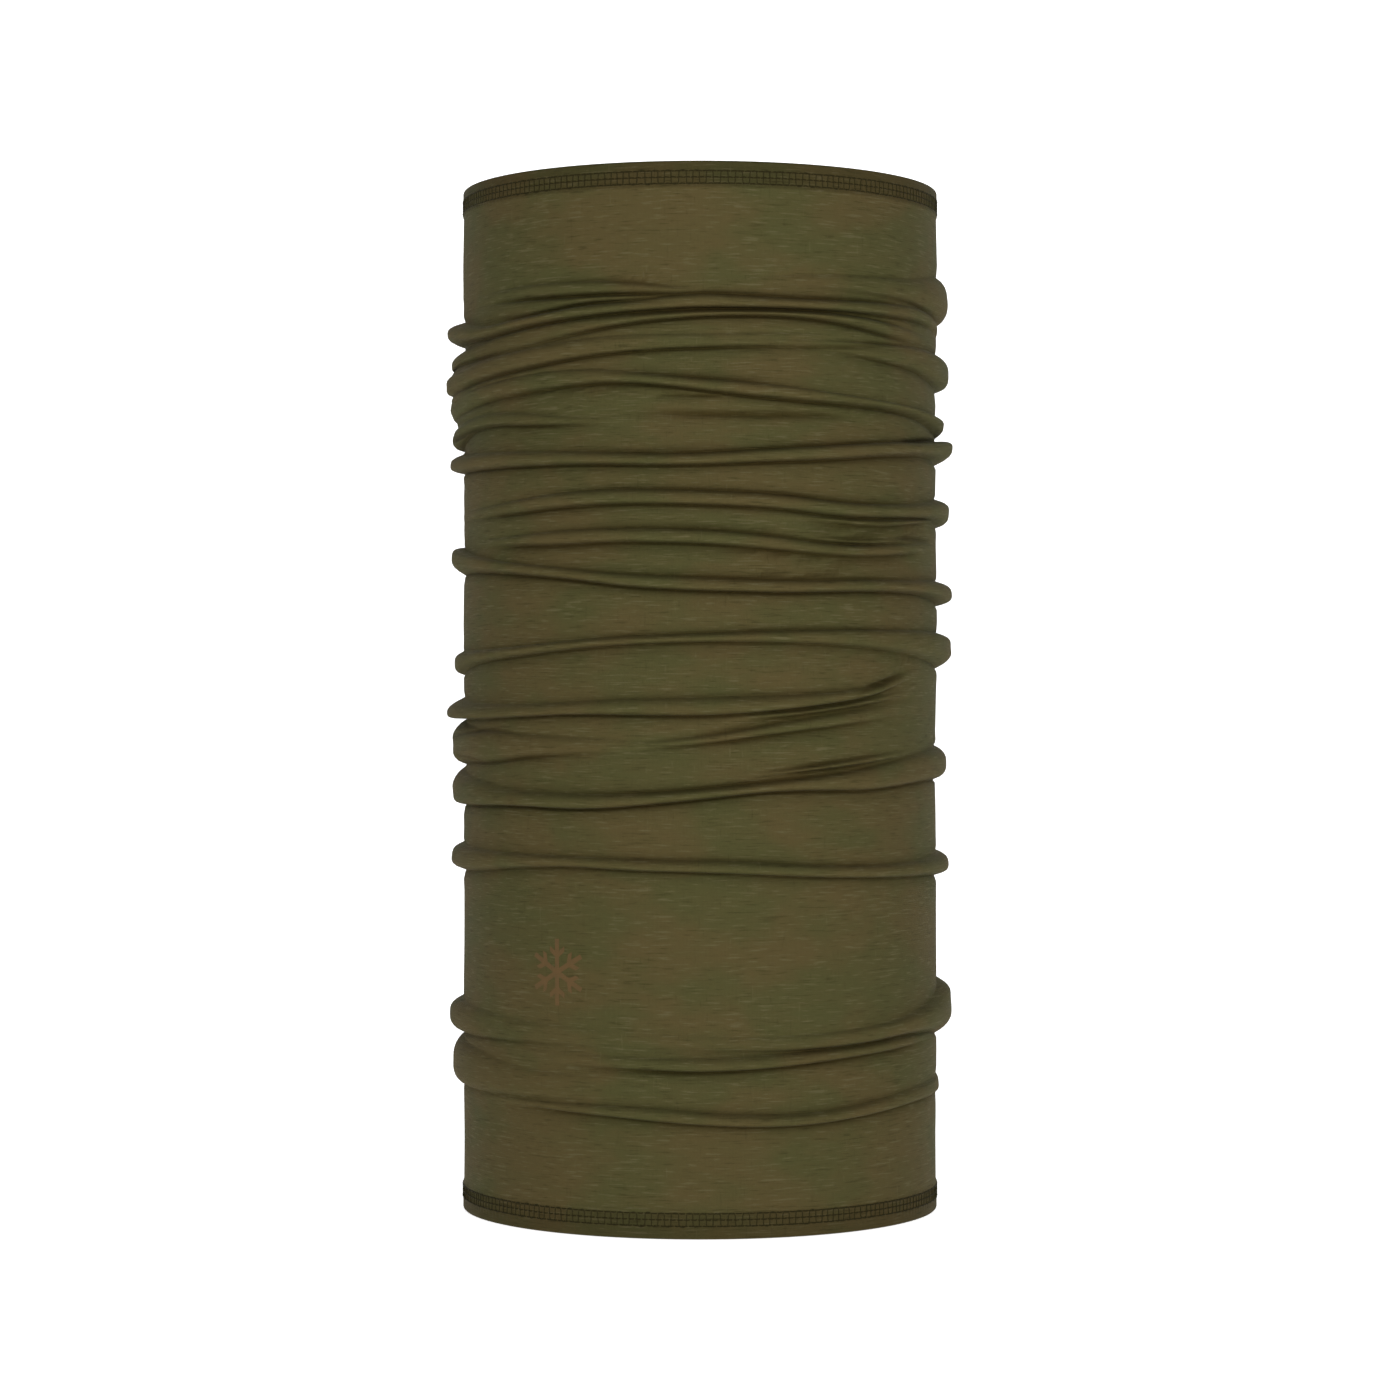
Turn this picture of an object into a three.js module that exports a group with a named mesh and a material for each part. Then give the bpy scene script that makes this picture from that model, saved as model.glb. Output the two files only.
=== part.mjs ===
// Neck gaiter: a seamless knitted tube with a turned hem at each end, standing open with its length
// gathered into folds. Millimetres, +Z up, origin at the centre of the lower rim, front towards -Y.
import * as THREE from 'three';
import { TessellateModifier } from 'three/addons/modifiers/TessellateModifier.js';

// ---- driving dimensions ------------------------------------------------------------------------

const tubeRadius = 78; // outside of the smooth cloth
const tubeHeight = 335; // rim to rim, gathered
const clothThickness = 0.7; // one layer of jersey
const hemRise = 0.3; // how far a hem stands proud of the smooth cloth
const lowerHemDepth = 9.2; // rim to the cut edge that is turned inside
const upperHemDepth = 8.3;
const rimRounding = 0.5; // corner of the fold that makes each rim
const hemStep = 0.9; // height over which the cloth steps out to the hem

const needleSpacing = 1.95; // between the three parallel needle threads
const stitchInset = 1.2; // from the cut edge to the nearest needle thread
const threadThickness = 0.25; // across the cloth
const threadWidth = 0.6; // along the cloth
const seatGap = 0.3; // left between pieces that touch

const labelThickness = 0.25; // two layers of satin tape, folded
const labelWidth = 20;
const labelLength = 30;
const labelBearing = 180; // degrees round from the front, towards +X

const emblemRadius = 10.5; // centre to the tip of an arm
const emblemThickness = 0.2;
const emblemHeight = 82; // centre above the lower rim
const emblemBearing = -35;

const facets = 36; // round the tube
const facetSag = tubeRadius * (1 - Math.cos(Math.PI / facets)); // a facet's middle lies this far in

// Each fold runs round the tube: the height of its crest at the left side (-X) and at the right side
// (+X), how far it stands out, and half of its height. Heights are measured from the lower rim.
const folds = [
  { left: 49.2, right: 41.1, reach: 2.4, half: 6 },
  { left: 63.8, right: 65.8, reach: 5, half: 6 },
  { left: 116.3, right: 113.7, reach: 3.9, half: 4.4 },
  { left: 138.5, right: 146.8, reach: 3.6, half: 6 },
  { left: 153.8, right: 159, reach: 3.4, half: 6 },
  { left: 164.8, right: 170.5, reach: 4.5, half: 3.6 },
  { left: 179.5, right: 184, reach: 4.4, half: 5.6 },
  { left: 215.2, right: 202.3, reach: 4.5, half: 4.2 },
  { left: 228.5, right: 229.4, reach: 3, half: 4.6 },
  { left: 245.3, right: 250.3, reach: 4.8, half: 3.6 },
  { left: 263.5, right: 260, reach: 3.8, half: 4.4 },
  { left: 272.7, right: 274.7, reach: 5.2, half: 4.4 },
  { left: 288.2, right: 298.4, reach: 4.8, half: 6 },
];
const foldedHeight = 335; // the height that the folds above are laid out for

// ---- sizes that follow -------------------------------------------------------------------------

const hemRadius = tubeRadius + hemRise;
const hemSlot = labelThickness + 2 * seatGap + facetSag + hemRise; // holds the label's end
const slotRadius = hemRadius - clothThickness; // inner face of the hem's outer layer
const turnedRadius = slotRadius - hemSlot; // outer face of the layer turned inside
const boreRadius = turnedRadius - clothThickness;
const wallRadius = tubeRadius - clothThickness; // inner face of the smooth cloth

const olive = 0x534c2e;
const darkOlive = 0x463e26;

// ---- helpers -----------------------------------------------------------------------------------

function finish(color, roughness) {
  return new THREE.MeshStandardMaterial({ color, roughness, metalness: 0 });
}

// A lathed ring about +Z from a closed outline of [radius, height] points.
function ring(outline, segments = facets) {
  const points = [...outline, outline[0]].map(([r, z]) => new THREE.Vector2(r, z));
  return new THREE.LatheGeometry(points, segments).rotateX(Math.PI / 2);
}

// Moves each vertex to the place that `move` gives for it.
function reshape(geometry, move) {
  const position = geometry.getAttribute('position');
  const point = new THREE.Vector3();
  for (let i = 0; i < position.count; i += 1) {
    move(point.fromBufferAttribute(position, i));
    position.setXYZ(i, point.x, point.y, point.z);
  }
  position.needsUpdate = true;
  return geometry;
}

// Wraps a flat piece round the tube: x becomes the bearing from the front, z the radius beyond `radius`.
function wrap(geometry, radius, bearing) {
  const start = THREE.MathUtils.degToRad(bearing);
  return reshape(geometry, (point) => {
    const angle = start + point.x / radius;
    const reach = radius + point.z;
    point.set(reach * Math.sin(angle), -reach * Math.cos(angle), point.y);
  });
}

function mesh(name, geometry, material) {
  const piece = new THREE.Mesh(geometry, material);
  piece.name = name;
  return piece;
}

// ---- the knitted tube --------------------------------------------------------------------------

const foldScale = tubeHeight / foldedHeight;
const foldRows = folds.map(({ left, right, reach, half }) => ({
  middle: ((left + right) / 2) * foldScale,
  lean: ((right - left) / 2) * foldScale,
  reach,
  half: half * foldScale,
}));

// The fold's outline on the outer face, from its foot up: a full lower shoulder under a softer crest.
function outerFold({ middle, reach, half }) {
  return [
    [tubeRadius, middle - half],
    [tubeRadius + reach * 0.9, middle - half * 0.42],
    [tubeRadius + reach, middle + half * 0.16],
    [tubeRadius, middle + half],
  ];
}

// The same fold on the inner face, from the top down.
function innerFold({ middle, reach, half }) {
  return [
    [wallRadius, middle + half],
    [wallRadius + reach * 0.95, middle],
    [wallRadius, middle - half],
  ];
}

// How far the cloth at height z is raised on the right and lowered on the left.
function leanAt(z) {
  const rows = [{ middle: lowerHemDepth + hemStep, lean: 0 }, ...foldRows,
    { middle: tubeHeight - upperHemDepth - hemStep, lean: 0 }];
  const above = rows.findIndex(({ middle }) => middle >= z);
  if (above < 1) return 0;
  const [low, high] = [rows[above - 1], rows[above]];
  const share = (z - low.middle) / (high.middle - low.middle);
  return THREE.MathUtils.lerp(low.lean, high.lean, share);
}

// Outer face from the lower rim to the upper one, then down the inside. At each rim the cloth turns
// over and its cut edge lies inside, with the slot of the hem open to the bore.
function tubeGeometry() {
  const outside = [
    [hemRadius - rimRounding, 0],
    [hemRadius, rimRounding],
    [hemRadius, lowerHemDepth - hemStep],
    [tubeRadius, lowerHemDepth],
    ...foldRows.flatMap(outerFold),
    [tubeRadius, tubeHeight - upperHemDepth],
    [hemRadius, tubeHeight - upperHemDepth + hemStep],
    [hemRadius, tubeHeight - rimRounding],
    [hemRadius - rimRounding, tubeHeight],
  ];
  const upperTurn = [
    [boreRadius + rimRounding, tubeHeight],
    [boreRadius, tubeHeight - rimRounding],
    [boreRadius, tubeHeight - upperHemDepth],
    [turnedRadius, tubeHeight - upperHemDepth],
    [turnedRadius, tubeHeight - clothThickness],
    [slotRadius, tubeHeight - clothThickness],
    [slotRadius, tubeHeight - upperHemDepth + hemStep],
    [wallRadius, tubeHeight - upperHemDepth],
  ];
  const lowerTurn = [
    [wallRadius, lowerHemDepth],
    [slotRadius, lowerHemDepth - hemStep],
    [slotRadius, clothThickness],
    [turnedRadius, clothThickness],
    [turnedRadius, lowerHemDepth],
    [boreRadius, lowerHemDepth],
    [boreRadius, rimRounding],
    [boreRadius + rimRounding, 0],
  ];
  const inside = [...foldRows].reverse().flatMap(innerFold);
  const geometry = ring([...outside, ...upperTurn, ...inside, ...lowerTurn]);
  return reshape(geometry, (point) => {
    point.z += leanAt(point.z) * (point.x / Math.hypot(point.x, point.y));
  });
}

// ---- the coverstitch of a hem ------------------------------------------------------------------

// Three needle threads and a cover thread outside, and a looper thread inside. `height` turns a
// distance from the rim into a height.
function hemStitching(prefix, depth, height) {
  const thread = finish(darkOlive, 0.8);
  const needleFace = hemRadius + seatGap;
  const coverFace = needleFace + threadThickness + seatGap;
  const looperFace = boreRadius * Math.cos(Math.PI / facets) - seatGap - threadThickness;
  const rows = ['inner', 'middle', 'outer'].map((row, index) => ({
    row,
    z: height(depth - stitchInset - index * needleSpacing),
  }));
  const middle = rows[1].z;

  const section = (radius, z) => [
    [radius, z],
    [radius + threadThickness / 2, z - threadWidth / 2],
    [radius + threadThickness, z],
    [radius + threadThickness / 2, z + threadWidth / 2],
  ];
  const zigzag = (radius) => reshape(ring(section(radius, middle)), (point) => {
    const step = Math.round((Math.atan2(point.y, point.x) * facets) / (2 * Math.PI));
    point.z += (step % 2 === 0 ? 1 : -1) * needleSpacing;
  });

  return [
    ...rows.map(({ row, z }) => mesh(`${prefix}_${row}_needle_thread`, ring(section(needleFace, z)), thread.clone())),
    mesh(`${prefix}_cover_thread`, zigzag(coverFace), thread.clone()),
    mesh(`${prefix}_looper_thread`, zigzag(looperFace), thread.clone()),
  ];
}

// ---- the printed mark and the label ------------------------------------------------------------

// A snow crystal: six straight arms, each with one pair of side branches.
function crystalShape(radius) {
  const halfArm = radius * 0.075;
  const half = [
    [halfArm, radius * 0.13],
    [halfArm, radius * 0.46],
    [radius * 0.27, radius * 0.62],
    [radius * 0.27, radius * 0.78],
    [halfArm, radius * 0.64],
    [halfArm, radius],
  ];
  const arm = [...half, ...half.map(([x, y]) => [-x, y]).reverse()];
  const turn = new THREE.Vector2();
  const centre = new THREE.Vector2();
  const points = Array.from({ length: 6 }, (_, index) => arm.map(([x, y]) => (
    turn.set(x, y).rotateAround(centre, (index * Math.PI) / 3).clone()))).flat();
  return new THREE.Shape(points);
}

function emblem() {
  const flat = new THREE.ExtrudeGeometry(crystalShape(emblemRadius), { depth: emblemThickness, bevelEnabled: false });
  const fine = new TessellateModifier(emblemRadius * 0.4, 8).modify(flat).translate(0, emblemHeight, 0);
  return mesh('transfer_emblem', wrap(fine, tubeRadius + seatGap, emblemBearing), finish(darkOlive, 0.55));
}

// The label's lower end is held in the slot of the lower hem; the rest stands up inside the tube.
function careLabel() {
  const tape = new THREE.BoxGeometry(labelWidth, labelLength, labelThickness, 6, 1, 1);
  tape.translate(0, clothThickness + seatGap + labelLength / 2, labelThickness / 2);
  return mesh('care_label', wrap(tape, turnedRadius + seatGap, labelBearing), finish(0xd9d6cb, 0.45));
}

// ---- the gaiter --------------------------------------------------------------------------------

const gaiter = new THREE.Group();
gaiter.add(mesh('knitted_tube', tubeGeometry(), finish(olive, 0.92)));
gaiter.add(...hemStitching('lower_hem', lowerHemDepth, (z) => z));
gaiter.add(...hemStitching('upper_hem', upperHemDepth, (z) => tubeHeight - z));
gaiter.add(emblem());
gaiter.add(careLabel());

export default gaiter;
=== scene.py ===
"""Neck gaiter: a seamless knitted tube gathered on itself, with a coverstitched hem at each end."""

import logging
import math
from dataclasses import dataclass
from enum import Enum
from typing import Any, Sequence

import bmesh
import bpy
import numpy as np
from numpy.typing import NDArray
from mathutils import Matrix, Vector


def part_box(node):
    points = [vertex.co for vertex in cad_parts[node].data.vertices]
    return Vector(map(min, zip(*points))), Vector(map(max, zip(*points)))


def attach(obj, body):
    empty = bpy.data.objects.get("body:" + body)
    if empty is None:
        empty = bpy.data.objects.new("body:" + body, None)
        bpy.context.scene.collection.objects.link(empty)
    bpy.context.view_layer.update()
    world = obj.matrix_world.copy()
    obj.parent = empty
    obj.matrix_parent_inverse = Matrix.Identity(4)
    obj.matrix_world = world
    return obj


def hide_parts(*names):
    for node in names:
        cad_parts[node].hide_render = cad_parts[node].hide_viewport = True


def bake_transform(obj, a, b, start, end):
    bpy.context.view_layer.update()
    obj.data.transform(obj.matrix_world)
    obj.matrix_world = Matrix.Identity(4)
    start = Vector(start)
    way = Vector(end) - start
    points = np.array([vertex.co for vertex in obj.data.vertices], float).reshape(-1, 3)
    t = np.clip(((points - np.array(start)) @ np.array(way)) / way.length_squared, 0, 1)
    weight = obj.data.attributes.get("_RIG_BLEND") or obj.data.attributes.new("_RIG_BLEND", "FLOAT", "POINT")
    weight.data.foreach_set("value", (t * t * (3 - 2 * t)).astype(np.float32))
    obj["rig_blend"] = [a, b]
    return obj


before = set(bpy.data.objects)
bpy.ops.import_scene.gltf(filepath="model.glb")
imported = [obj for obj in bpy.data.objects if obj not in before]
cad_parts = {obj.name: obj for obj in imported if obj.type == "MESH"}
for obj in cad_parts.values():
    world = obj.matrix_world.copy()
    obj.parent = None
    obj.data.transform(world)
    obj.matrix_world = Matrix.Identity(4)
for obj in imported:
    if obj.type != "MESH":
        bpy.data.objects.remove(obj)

Array = NDArray[np.float64]
Colour = tuple[float, float, float, float]
MM = 0.001
TURN = 2.0 * math.pi
LOWER_BODY = "lower_tube"
UPPER_BODY = "upper_hem"
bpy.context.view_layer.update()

log = logging.getLogger("neck_gaiter")


# ---- shader nodes ----


def _operator(operation: str, flipped: bool = False) -> Any:
    """A method of Sock for an operator, which adds one Math node.

    Args:
        operation: the node's operation.
        flipped: puts the other value first.

    Returns:
        The method.
    """

    def method(self: "Sock", other: Any) -> "Sock":
        """The node's result."""
        return self.computed(operation, *((other, self) if flipped else (self, other)))

    return method


class Sock:
    """A node socket that adds its own Math nodes when it is used in an expression of numbers."""

    def __init__(self, shade: "Shade", socket: Any) -> None:
        """Keeps the material builder and the socket that the value comes from."""
        self.shade = shade
        self.socket = socket

    def computed(self, operation: str, *values: Any) -> "Sock":
        """A Math node's result, from its operation and its inputs in order."""
        return self.shade.node("ShaderNodeMath", {"operation": operation}, dict(enumerate(values)))

    __add__ = __radd__ = _operator("ADD")
    __sub__ = _operator("SUBTRACT")
    __rsub__ = _operator("SUBTRACT", flipped=True)
    __mul__ = __rmul__ = _operator("MULTIPLY")
    __truediv__ = _operator("DIVIDE")
    __pow__ = _operator("POWER")

    def __abs__(self) -> "Sock":
        """The distance from zero."""
        return self.computed("ABSOLUTE", self)

    def fraction(self) -> "Sock":
        """What is left after the whole number below."""
        return self.computed("FRACT", self)

    def sine(self) -> "Sock":
        """The sine, in radians."""
        return self.computed("SINE", self)

    def most(self, other: Any) -> "Sock":
        """The larger of the two."""
        return self.computed("MAXIMUM", self, other)

    def ramp(self, low: float, high: float) -> "Sock":
        """A smooth step from 0 at low to 1 at high, which may be below low."""
        settings = {"interpolation_type": "SMOOTHSTEP"}
        return self.shade.node("ShaderNodeMapRange", settings, {0: self, 1: low, 2: high})


class Shade:
    """Builds one material's nodes."""

    def __init__(self, name: str) -> None:
        """Starts an empty node material.

        Args:
            name: the material's name.
        """
        self.material = bpy.data.materials.new(name)
        self.material.use_nodes = True
        self.tree = self.material.node_tree
        self.tree.nodes.clear()

    def node(
        self,
        kind: str,
        settings: dict[str, Any] | None = None,
        inputs: dict[Any, Any] | None = None,
        output: int | str = 0,
    ) -> Sock:
        """Adds one node, with its settings made before its sockets are filled.

        Args:
            kind: the node's type name.
            settings: attributes of the node by name.
            inputs: numbers, tuples or sockets by the input's name or index.
            output: the name or index of the output that is returned.

        Returns:
            That output.
        """
        made = self.tree.nodes.new(kind)
        for key, value in (settings or {}).items():
            setattr(made, key, value)
        for key, value in (inputs or {}).items():
            if isinstance(value, Sock):
                self.tree.links.new(value.socket, made.inputs[key])
            else:
                made.inputs[key].default_value = value
        return Sock(self, made.outputs[output])

    def attribute(self, name: str, output: str = "Vector") -> Sock:
        """The mesh attribute of that name."""
        return self.node("ShaderNodeAttribute", {"attribute_name": name}, output=output)

    def place(self) -> Sock:
        """The place in the piece's own space, in metres."""
        return self.node("ShaderNodeTexCoord", output="Object")

    def uv(self, unit: float = 1.0) -> tuple[Sock, Sock]:
        """The two parts of the UV, counted in a unit of that many of its own."""
        own = self.node("ShaderNodeUVMap", {"uv_map": "UVMap"})
        return self.axes(self.stretched(own, (1.0 / unit, 1.0 / unit, 0.0)))[:2]

    def axes(self, vector: Sock) -> tuple[Sock, ...]:
        """The three components of a vector."""
        split = self.node("ShaderNodeSeparateXYZ", inputs={0: vector}).socket.node
        return tuple(Sock(self, split.outputs[axis]) for axis in range(3))

    def stretched(self, vector: Sock, scale: Sequence[float]) -> Sock:
        """The vector with each component times its own scale."""
        return self.node("ShaderNodeVectorMath", {"operation": "MULTIPLY"}, {0: vector, 1: tuple(scale)})

    def noise(self, vector: Sock, scale: Sequence[float], detail: float = 2.0) -> Sock:
        """Soft noise about 0.5, with that many cells for each unit along each axis and that many octaves."""
        inputs = {"Vector": self.stretched(vector, scale), "Scale": 1.0, "Detail": detail}
        return self.node("ShaderNodeTexNoise", {"noise_dimensions": "3D"}, inputs)

    def mix(self, share: Any, first: Any, second: Any, blend: str = "MIX") -> Sock:
        """The first colour mixed with that share of the second, by the Mix node's blend type."""
        settings = {"data_type": "RGBA", "blend_type": blend}
        return self.node("ShaderNodeMix", settings, {0: share, 6: first, 7: second}, output=2)

    def grey(self, value: Sock) -> Sock:
        """A grey colour of that value."""
        return self.node("ShaderNodeCombineColor", inputs={0: value, 1: value, 2: value})

    def bump(self, height: Sock, depth: float, strength: float) -> Sock:
        """The normal of a height field, where a height of 1 is that depth in millimetres."""
        inputs = {"Height": height, "Distance": depth * MM, "Strength": strength}
        return self.node("ShaderNodeBump", inputs=inputs)

    def surface(self, **sockets: Any) -> bpy.types.Material:
        """Ends the material with a Principled shader.

        Args:
            sockets: values or links by the shader's socket names, with _ for a space.

        Returns:
            The finished material.
        """
        inputs = {name.replace("_", " "): value for name, value in sockets.items()}
        shader = self.node("ShaderNodeBsdfPrincipled", inputs=inputs)
        end = self.tree.nodes.new("ShaderNodeOutputMaterial")
        self.tree.links.new(shader.socket, end.inputs[0])
        return self.material


def rgb(red: float, green: float, blue: float) -> Colour:
    """An opaque linear colour."""
    return red, green, blue, 1.0


# ---- finishes ----


@dataclass(frozen=True)
class JerseyFinish:
    """Fine merino single jersey, face side out. Lengths in millimetres of cloth."""

    wale: float = 0.85  # one column of stitches
    course: float = 0.62  # one row of stitches
    pucker: float = 2.19  # from one rung of the coverstitch to the next
    hem_fade: tuple[float, float] = (9.6, 8.6)  # from the rim, where the hem's tint is gone and is full
    green: Colour = rgb(0.0590, 0.0560, 0.0195)
    brown: Colour = rgb(0.0735, 0.0560, 0.0210)
    shadow_yarn: Colour = rgb(0.031, 0.0265, 0.0085)
    bright_yarn: Colour = rgb(0.106, 0.092, 0.045)
    # painted shade: the colour that the cloth is multiplied by in the deepest creases
    painted_crease_shade: Colour = rgb(0.52, 0.47, 0.34)
    hem_tint: Colour = rgb(0.70, 0.68, 0.66)
    sheen: Colour = rgb(0.92, 0.88, 0.70)

    def stitch_height(self, across: Sock, along: Sock) -> Sock:
        """Relief of the V-shaped stitches, from 0 to 1.

        In each column the two legs of a stitch lie a quarter of its width from its middle and slant
        upwards and outwards. Across a leg the height is one minus the square of the distance from
        its middle, and along it the height is the sine of its place in the row.

        Args:
            across: millimetres round the tube.
            along: millimetres of cloth up from the cut edge.

        Returns:
            The height.
        """
        side = abs((across / self.wale).fraction() - 0.5)
        leg = 1.0 - (abs(side - 0.25) * 4.0) ** 2.0
        place = (along / self.course - side * 1.5).fraction()
        return leg.most(0.0) * ((place * math.pi).sine() * 0.6 + 0.4)

    def material(self) -> bpy.types.Material:
        """The cloth: melange yarn, slubs, brown and green patches, knit relief, painted shade in its creases
        and between the stitches' legs, and a soft sheen.

        Returns:
            The material.
        """
        shade = Shade("merino_jersey")
        cloth = shade.attribute("cloth")
        across, along = shade.uv(MM)
        rim = shade.attribute("rim", "Fac")
        # the crease depth, used below to paint shade into the creases
        crease = shade.attribute("crease", "Fac")

        patches = shade.noise(cloth, (0.028, 0.028, 0.040), 3.0).ramp(0.40, 0.60)
        broad = shade.noise(cloth, (0.05, 0.05, 0.16), 3.0).ramp(0.35, 0.65)
        slubs = shade.noise(cloth, (0.14, 0.14, 1.8), 3.0)
        fine = shade.noise(cloth, (0.55, 0.55, 1.9), 2.0)
        fibres = shade.noise(cloth, (2.4, 2.4, 3.4), 1.0)
        drops = shade.noise(cloth, (1.5, 1.5, 0.16), 1.0)
        relief = self.stitch_height(across, along)

        colour = shade.mix(patches * 0.75 + broad * 0.25, self.green, self.brown)
        dark = slubs.ramp(0.43, 0.30) * 0.50 + drops.ramp(0.33, 0.24) * 0.22
        light = slubs.ramp(0.57, 0.69) * 0.55 + drops.ramp(0.70, 0.80) * 0.25
        colour = shade.mix(dark, colour, self.shadow_yarn)
        colour = shade.mix(light, colour, self.bright_yarn)
        # the yarn's own random tone from fine and fibres, and painted shade from the relief: the stitches'
        # legs lighter, the gaps between them darker
        tone = 0.76 + relief * 0.16 + fine * 0.12 + fibres * 0.20
        colour = shade.mix(1.0, colour, shade.grey(tone), "MULTIPLY")
        colour = shade.mix(rim.ramp(*self.hem_fade), colour, self.hem_tint, "MULTIPLY")
        # painted shade in the creases: the deeper the crease, the darker the cloth
        colour = shade.mix(crease.ramp(0.12, 0.95), colour, self.painted_crease_shade, "MULTIPLY")

        stitched = rim.ramp(10.5, 8.5) * rim.ramp(2.0, 4.0)
        pucker = (across * (TURN / self.pucker)).sine() * stitched
        height = relief * 0.55 + fine * 0.35 + fibres * 0.45 + slubs * 0.4 + pucker * 0.5
        return shade.surface(
            Base_Color=colour,
            Roughness=0.80 + fibres * 0.16,
            Specular_IOR_Level=0.06,
            Sheen_Weight=0.035,
            Sheen_Roughness=0.16,
            Sheen_Tint=self.sheen,
            Normal=shade.bump(height, 0.13, 0.85),
        )


@dataclass(frozen=True)
class ThreadFinish:
    """Twisted sewing thread, a little glossier than the cloth."""

    name: str = "sewing_thread"
    colour: Colour = rgb(0.014, 0.0115, 0.0032)
    # painted highlight on the plies' crests, and the lighter spots of wear
    light: Colour = rgb(0.028, 0.0225, 0.0075)
    twist: float = 0.9  # millimetres of thread for each turn of its plies

    def material(self) -> bpy.types.Material:
        """The thread: diagonal plies from the sine of its length and its turn together, with a painted
        highlight on their crests and random wear.

        Returns:
            The material.
        """
        shade = Shade(self.name)
        length, turn = shade.uv()
        plies = (length * (TURN / (self.twist * MM)) + turn * (2.0 * TURN)).sine() * 0.5 + 0.5
        wear = shade.noise(shade.place(), (900.0, 900.0, 900.0))
        return shade.surface(
            # lighter on the plies' crests, a painted highlight, and where the wear noise is high
            Base_Color=shade.mix(plies * 0.55 + wear * 0.35, self.colour, self.light),
            Roughness=0.55 + wear * 0.2,
            Specular_IOR_Level=0.03,
            Normal=shade.bump(plies, 0.04, 0.8),
        )


@dataclass(frozen=True)
class TransferFinish:
    """Heat-transfer film pressed into the knit, tone on tone."""

    colour: Colour = rgb(0.096, 0.055, 0.0190)
    worn: Colour = rgb(0.084, 0.052, 0.0185)

    def material(self) -> bpy.types.Material:
        """The film: satin, with the knit showing through as fine relief and small worn spots.

        Returns:
            The material.
        """
        shade = Shade("transfer_film")
        grain = shade.noise(shade.place(), (1300.0, 1300.0, 1700.0))
        wear = shade.noise(shade.place(), (420.0, 420.0, 420.0), 3.0)
        return shade.surface(
            Base_Color=shade.mix(wear.ramp(0.42, 0.62) * 0.6 + grain * 0.3, self.colour, self.worn),
            Roughness=0.50 + grain * 0.22,
            Specular_IOR_Level=0.14,
            Normal=shade.bump(grain, 0.07, 0.6),
        )


@dataclass(frozen=True)
class SatinTapeFinish:
    """Blank woven label tape. Lengths in millimetres."""

    colour: Colour = rgb(0.70, 0.67, 0.60)
    # painted shade along the weave's floats, and soil
    weave_shade_and_soil: Colour = rgb(0.52, 0.49, 0.43)
    warp: float = 0.30  # one warp thread
    weft: float = 0.42  # one weft thread
    slant: float = 0.4  # how far the floats climb for each step across

    def material(self) -> bpy.types.Material:
        """The tape: floats of satin weave as a fine slanted pattern of two sines, with painted shade that
        follows the weave and spots of soil.

        Returns:
            The material.
        """
        shade = Shade("label_tape")
        across, along = shade.uv(MM)
        warp = (across * (TURN / self.warp)).sine()
        weave = warp * ((along + across * self.slant) * (TURN / self.weft)).sine() * 0.5 + 0.5
        soil = shade.noise(shade.place(), (160.0, 160.0, 160.0), 3.0)
        return shade.surface(
            # painted shade that follows the weave, and soil
            Base_Color=shade.mix(weave * 0.35 + soil * 0.35, self.colour, self.weave_shade_and_soil),
            Roughness=0.36 + weave * 0.12,
            Sheen_Weight=0.2,
            Normal=shade.bump(weave, 0.03, 0.7),
        )


@dataclass(frozen=True)
class PaperFinish:
    """The matt white paper of the studio sweep."""

    glow: float = 0.78

    def material(self) -> bpy.types.Material:
        """Near-white paper with a faint tooth.

        Returns:
            The material.
        """
        shade = Shade("studio_paper")
        tooth = shade.noise(shade.place(), (300.0, 300.0, 300.0))
        return shade.surface(
            Base_Color=shade.mix(tooth, rgb(0.93, 0.93, 0.93), rgb(0.96, 0.96, 0.96)),
            Roughness=0.95,
            Specular_IOR_Level=0.0,
            Emission_Color=rgb(1.0, 1.0, 1.0),
            Emission_Strength=self.glow,
        )


# ---- lines and meshes ----


def bell(distance: Array, width: float) -> Array:
    """A bell curve: e to the power of minus the square of distance / width."""
    return np.exp(-((distance / width) ** 2))


def averaged(line: Array, weights: Sequence[float]) -> Array:
    """A running average round the tube, with a window of those weights about each column."""
    shifts = range(-(len(weights) // 2), len(weights) // 2 + 1)
    return sum(weight * np.roll(line, shift) for weight, shift in zip(weights, shifts)) / sum(weights)


def run_length(*coordinates: Array) -> Array:
    """The length of a path up to each of its points.

    Args:
        coordinates: one array for each coordinate, with the points along the first axis.

    Returns:
        The lengths, from 0 at the first point.
    """
    steps = np.sqrt(sum(np.diff(values, axis=0) ** 2 for values in coordinates))
    return np.concatenate([np.zeros((1, *steps.shape[1:])), np.cumsum(steps, axis=0)])


def around(radius: Array, bearing: Array, height: Array) -> Array:
    """Points about the tube's axis, in metres: x = r sin b, y = -r cos b, z = h.

    Args:
        radius: distances from the axis, in millimetres.
        bearing: angles from the front towards +X, in radians.
        height: heights above the lower rim, in millimetres.

    Returns:
        The points, with a last axis of 3.
    """
    radius, bearing, height = np.broadcast_arrays(radius, bearing, height)
    return np.stack([radius * np.sin(bearing), -radius * np.cos(bearing), height], axis=-1) * MM


def paired(across: Array, along: Array) -> Array:
    """The UV of a grid from the value of each column and the value of each row or corner."""
    return np.stack(np.broadcast_arrays(across, along), axis=-1)


def add_object(name: str, data: Any) -> bpy.types.Object:
    """Puts a new object in the scene.

    Args:
        name: its name.
        data: its mesh, light or camera.

    Returns:
        The object, at the origin.
    """
    made = bpy.data.objects.new(name, data)
    bpy.context.scene.collection.objects.link(made)
    return made


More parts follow.
